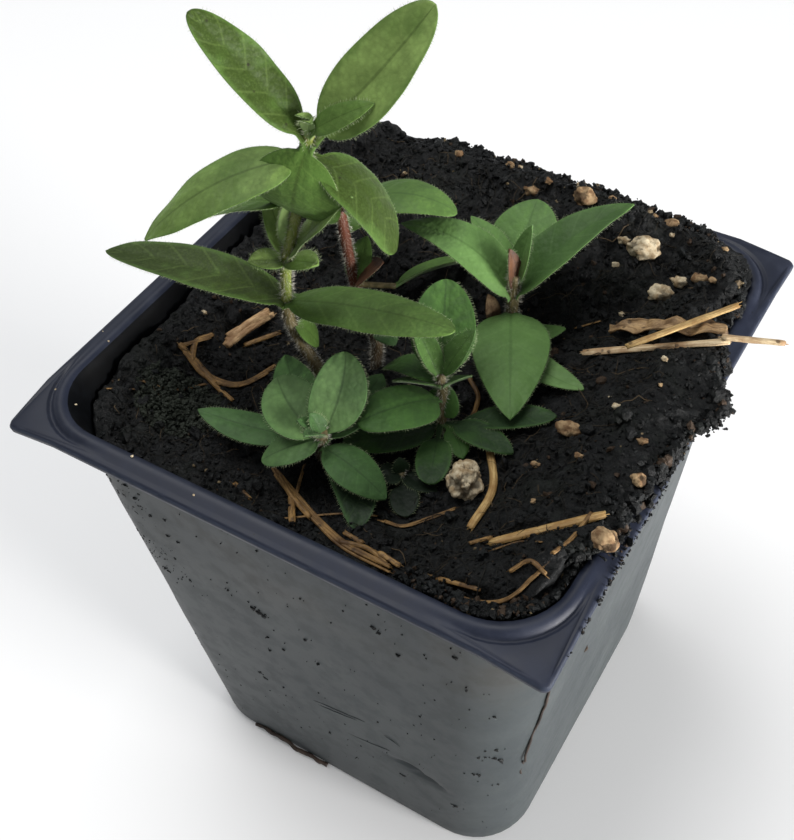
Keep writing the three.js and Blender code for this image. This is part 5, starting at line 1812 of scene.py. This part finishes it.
def make_dry_leaf(name, material, slot):
    """A dry leaf that lies loose, in one material."""
    shells = Shells()
    leaf_shell(shells, DRY_LEAVES[name])
    shells.finish = [0] * len(shells.finish)
    shells.piece(name + "_blade", name, slot, [material])


LYING = lying_lines()


# Stage
def make_camera():
    """The camera that took the photograph: it looks at its target, and is rolled a little."""
    azimuth, elevation = CAMERA_AZIMUTH * DEGREE, CAMERA_ELEVATION * DEGREE
    roll = CAMERA_ROLL * DEGREE
    back = Vector((
        math.sin(azimuth) * math.cos(elevation),
        -math.cos(azimuth) * math.cos(elevation),
        math.sin(elevation),
    ))
    level = (-back).cross(Vector((0, 0, 1))).normalized()
    upright = level.cross(-back)
    right = level * math.cos(roll) + upright * math.sin(roll)
    up = upright * math.cos(roll) - level * math.sin(roll)
    data = bpy.data.cameras.new("photo_camera")
    data.sensor_width = SENSOR
    data.lens = FOCAL_PIXELS * SENSOR / PHOTO_HEIGHT
    data.clip_start = 0.01
    camera = bpy.data.objects.new("photo_camera", data)
    place = (Vector(CAMERA_TARGET) + back * CAMERA_DISTANCE) * MM
    camera.matrix_world = Matrix.Translation(place) @ Matrix((right, up, back)).transposed().to_4x4()
    bpy.context.scene.collection.objects.link(camera)
    bpy.context.scene.camera = camera


def make_light(name, place, target, size, power, tint):
    """A round area light that faces its target."""
    data = bpy.data.lights.new(name, "AREA")
    data.shape = "DISK"
    data.size = size
    data.energy = power
    data.color = tint
    light = bpy.data.objects.new(name, data)
    light.location = place
    light.rotation_euler = (Vector(target) - Vector(place)).to_track_quat("-Z", "Y").to_euler()
    bpy.context.scene.collection.objects.link(light)


def make_stage():
    """A pale floor, an even sky and two soft lights."""
    bpy.context.scene.view_settings.view_transform = "Standard"
    floor_mesh = bpy.data.meshes.new("floor")
    side = FLOOR_HALF
    corners = [(-side, -side, 0), (side, -side, 0), (side, side, 0), (-side, side, 0)]
    floor_mesh.from_pydata(corners, [], [(0, 1, 2, 3)])
    floor = bpy.data.objects.new("floor", floor_mesh)
    bpy.context.scene.collection.objects.link(floor)
    f = Finish("floor_paint", 0.9, specular=0.1)
    f.colour(colour(236, 236, 236))
    floor_mesh.materials.append(f.material)
    world = bpy.data.worlds.new("studio")
    bpy.context.scene.world = world
    world.use_nodes = True
    background = world.node_tree.nodes["Background"]
    background.inputs["Color"].default_value = SKY_TINT
    background.inputs["Strength"].default_value = SKY_STRENGTH
    for light in LIGHTS:
        make_light(*light)


# The whole object
def make_plants():
    """The seven shoots, each in its own green; the low shoots' darker greens are partly painted shade."""
    hair = hair_finish("plant_hair", colour(172, 182, 146), colour(132, 148, 106))
    stem = stem_finish()
    white_hair = hair_finish("stem_hair", colour(206, 204, 192), colour(168, 164, 150))
    withered = straw_finish("withered_leaf", colour(92, 62, 42), colour(54, 38, 30))
    for seed, (name, parts) in enumerate(SHOOTS.items()):
        skin = leaf_finish(name + "_skin", *[colour(*green) for green in GREENS[name]])
        make_shoot(name, parts, [skin, hair, stem, withered, white_hair], seed)


def make_litter(perlite, bark):
    """What lies on the soil: straws, twigs, stones, chips and dry leaves."""
    twig = straw_finish("dry_twig", colour(146, 114, 70), colour(74, 54, 33))
    papery = straw_finish("papery_leaf", colour(172, 142, 102), colour(88, 66, 45))
    split_wood = straw_finish("split_wood", colour(198, 166, 124), colour(134, 102, 70))
    looks = {
        "straw": straw_finish("dry_straw", colour(186, 158, 106), colour(132, 100, 58)),
        "twig": twig,
        "cream": straw_finish("cream_straw", colour(204, 184, 148), colour(146, 116, 84)),
    }
    for seed, (name, rod) in enumerate(RODS.items()):
        make_rod(name, rod, looks, 50 + seed)
    make_straw_bits(twig)
    for name, stone in LUMPS.items():
        if name.startswith("perlite"):
            make_lump(name, stone, perlite, "perlite")
        else:
            make_lump(name, stone, split_wood if "plank" in stone else bark, "bark")
    make_loose_chips("pale_chips", PALE_CHIPS, perlite, "perlite")
    make_loose_chips("tan_chips", TAN_CHIPS, bark, "bark")
    make_dry_leaf("dead_leaf", papery, "twig")
    make_dry_leaf("dead_bract", bark, "bark")


def make_filled_pot(perlite):
    """The pot, its soil and crumbs, and the dirt on its wall and rim."""
    plastic = plastic_finish()
    # A lighter bluish band along the rim's outer edge: a painted highlight.
    edge = painted_light_plastic("pot_edge_painted_highlight", colour(50, 55, 67), colour(40, 45, 56))
    # The inside of the pot in near-black: painted shade.
    inside = painted_light_plastic("pot_inside_painted_shade", colour(7, 9, 12), colour(14, 16, 19))
    make_pot([plastic, edge, inside])
    make_scratches(plastic)
    soil = soil_finish()
    make_soil(soil)
    make_crumbs(soil)
    make_clod(soil)
    make_edge_crumbs(soil)
    make_wall_dirt(soil)
    make_rim_specks(perlite)
    make_wall_roots(straw_finish("dark_root", colour(58, 47, 39), colour(32, 27, 24)))
    make_fibres(fibre_finish())


def main():
    make_camera()
    make_stage()
    make_plants()
    perlite = stone_finish(
        "perlite_stone", colour(196, 182, 154), colour(138, 118, 90), colour(34, 28, 22)
    )
    bark = stone_finish("bark_chip", colour(156, 132, 100), colour(102, 78, 56), colour(36, 28, 22))
    make_litter(perlite, bark)
    make_filled_pot(perlite)


main()
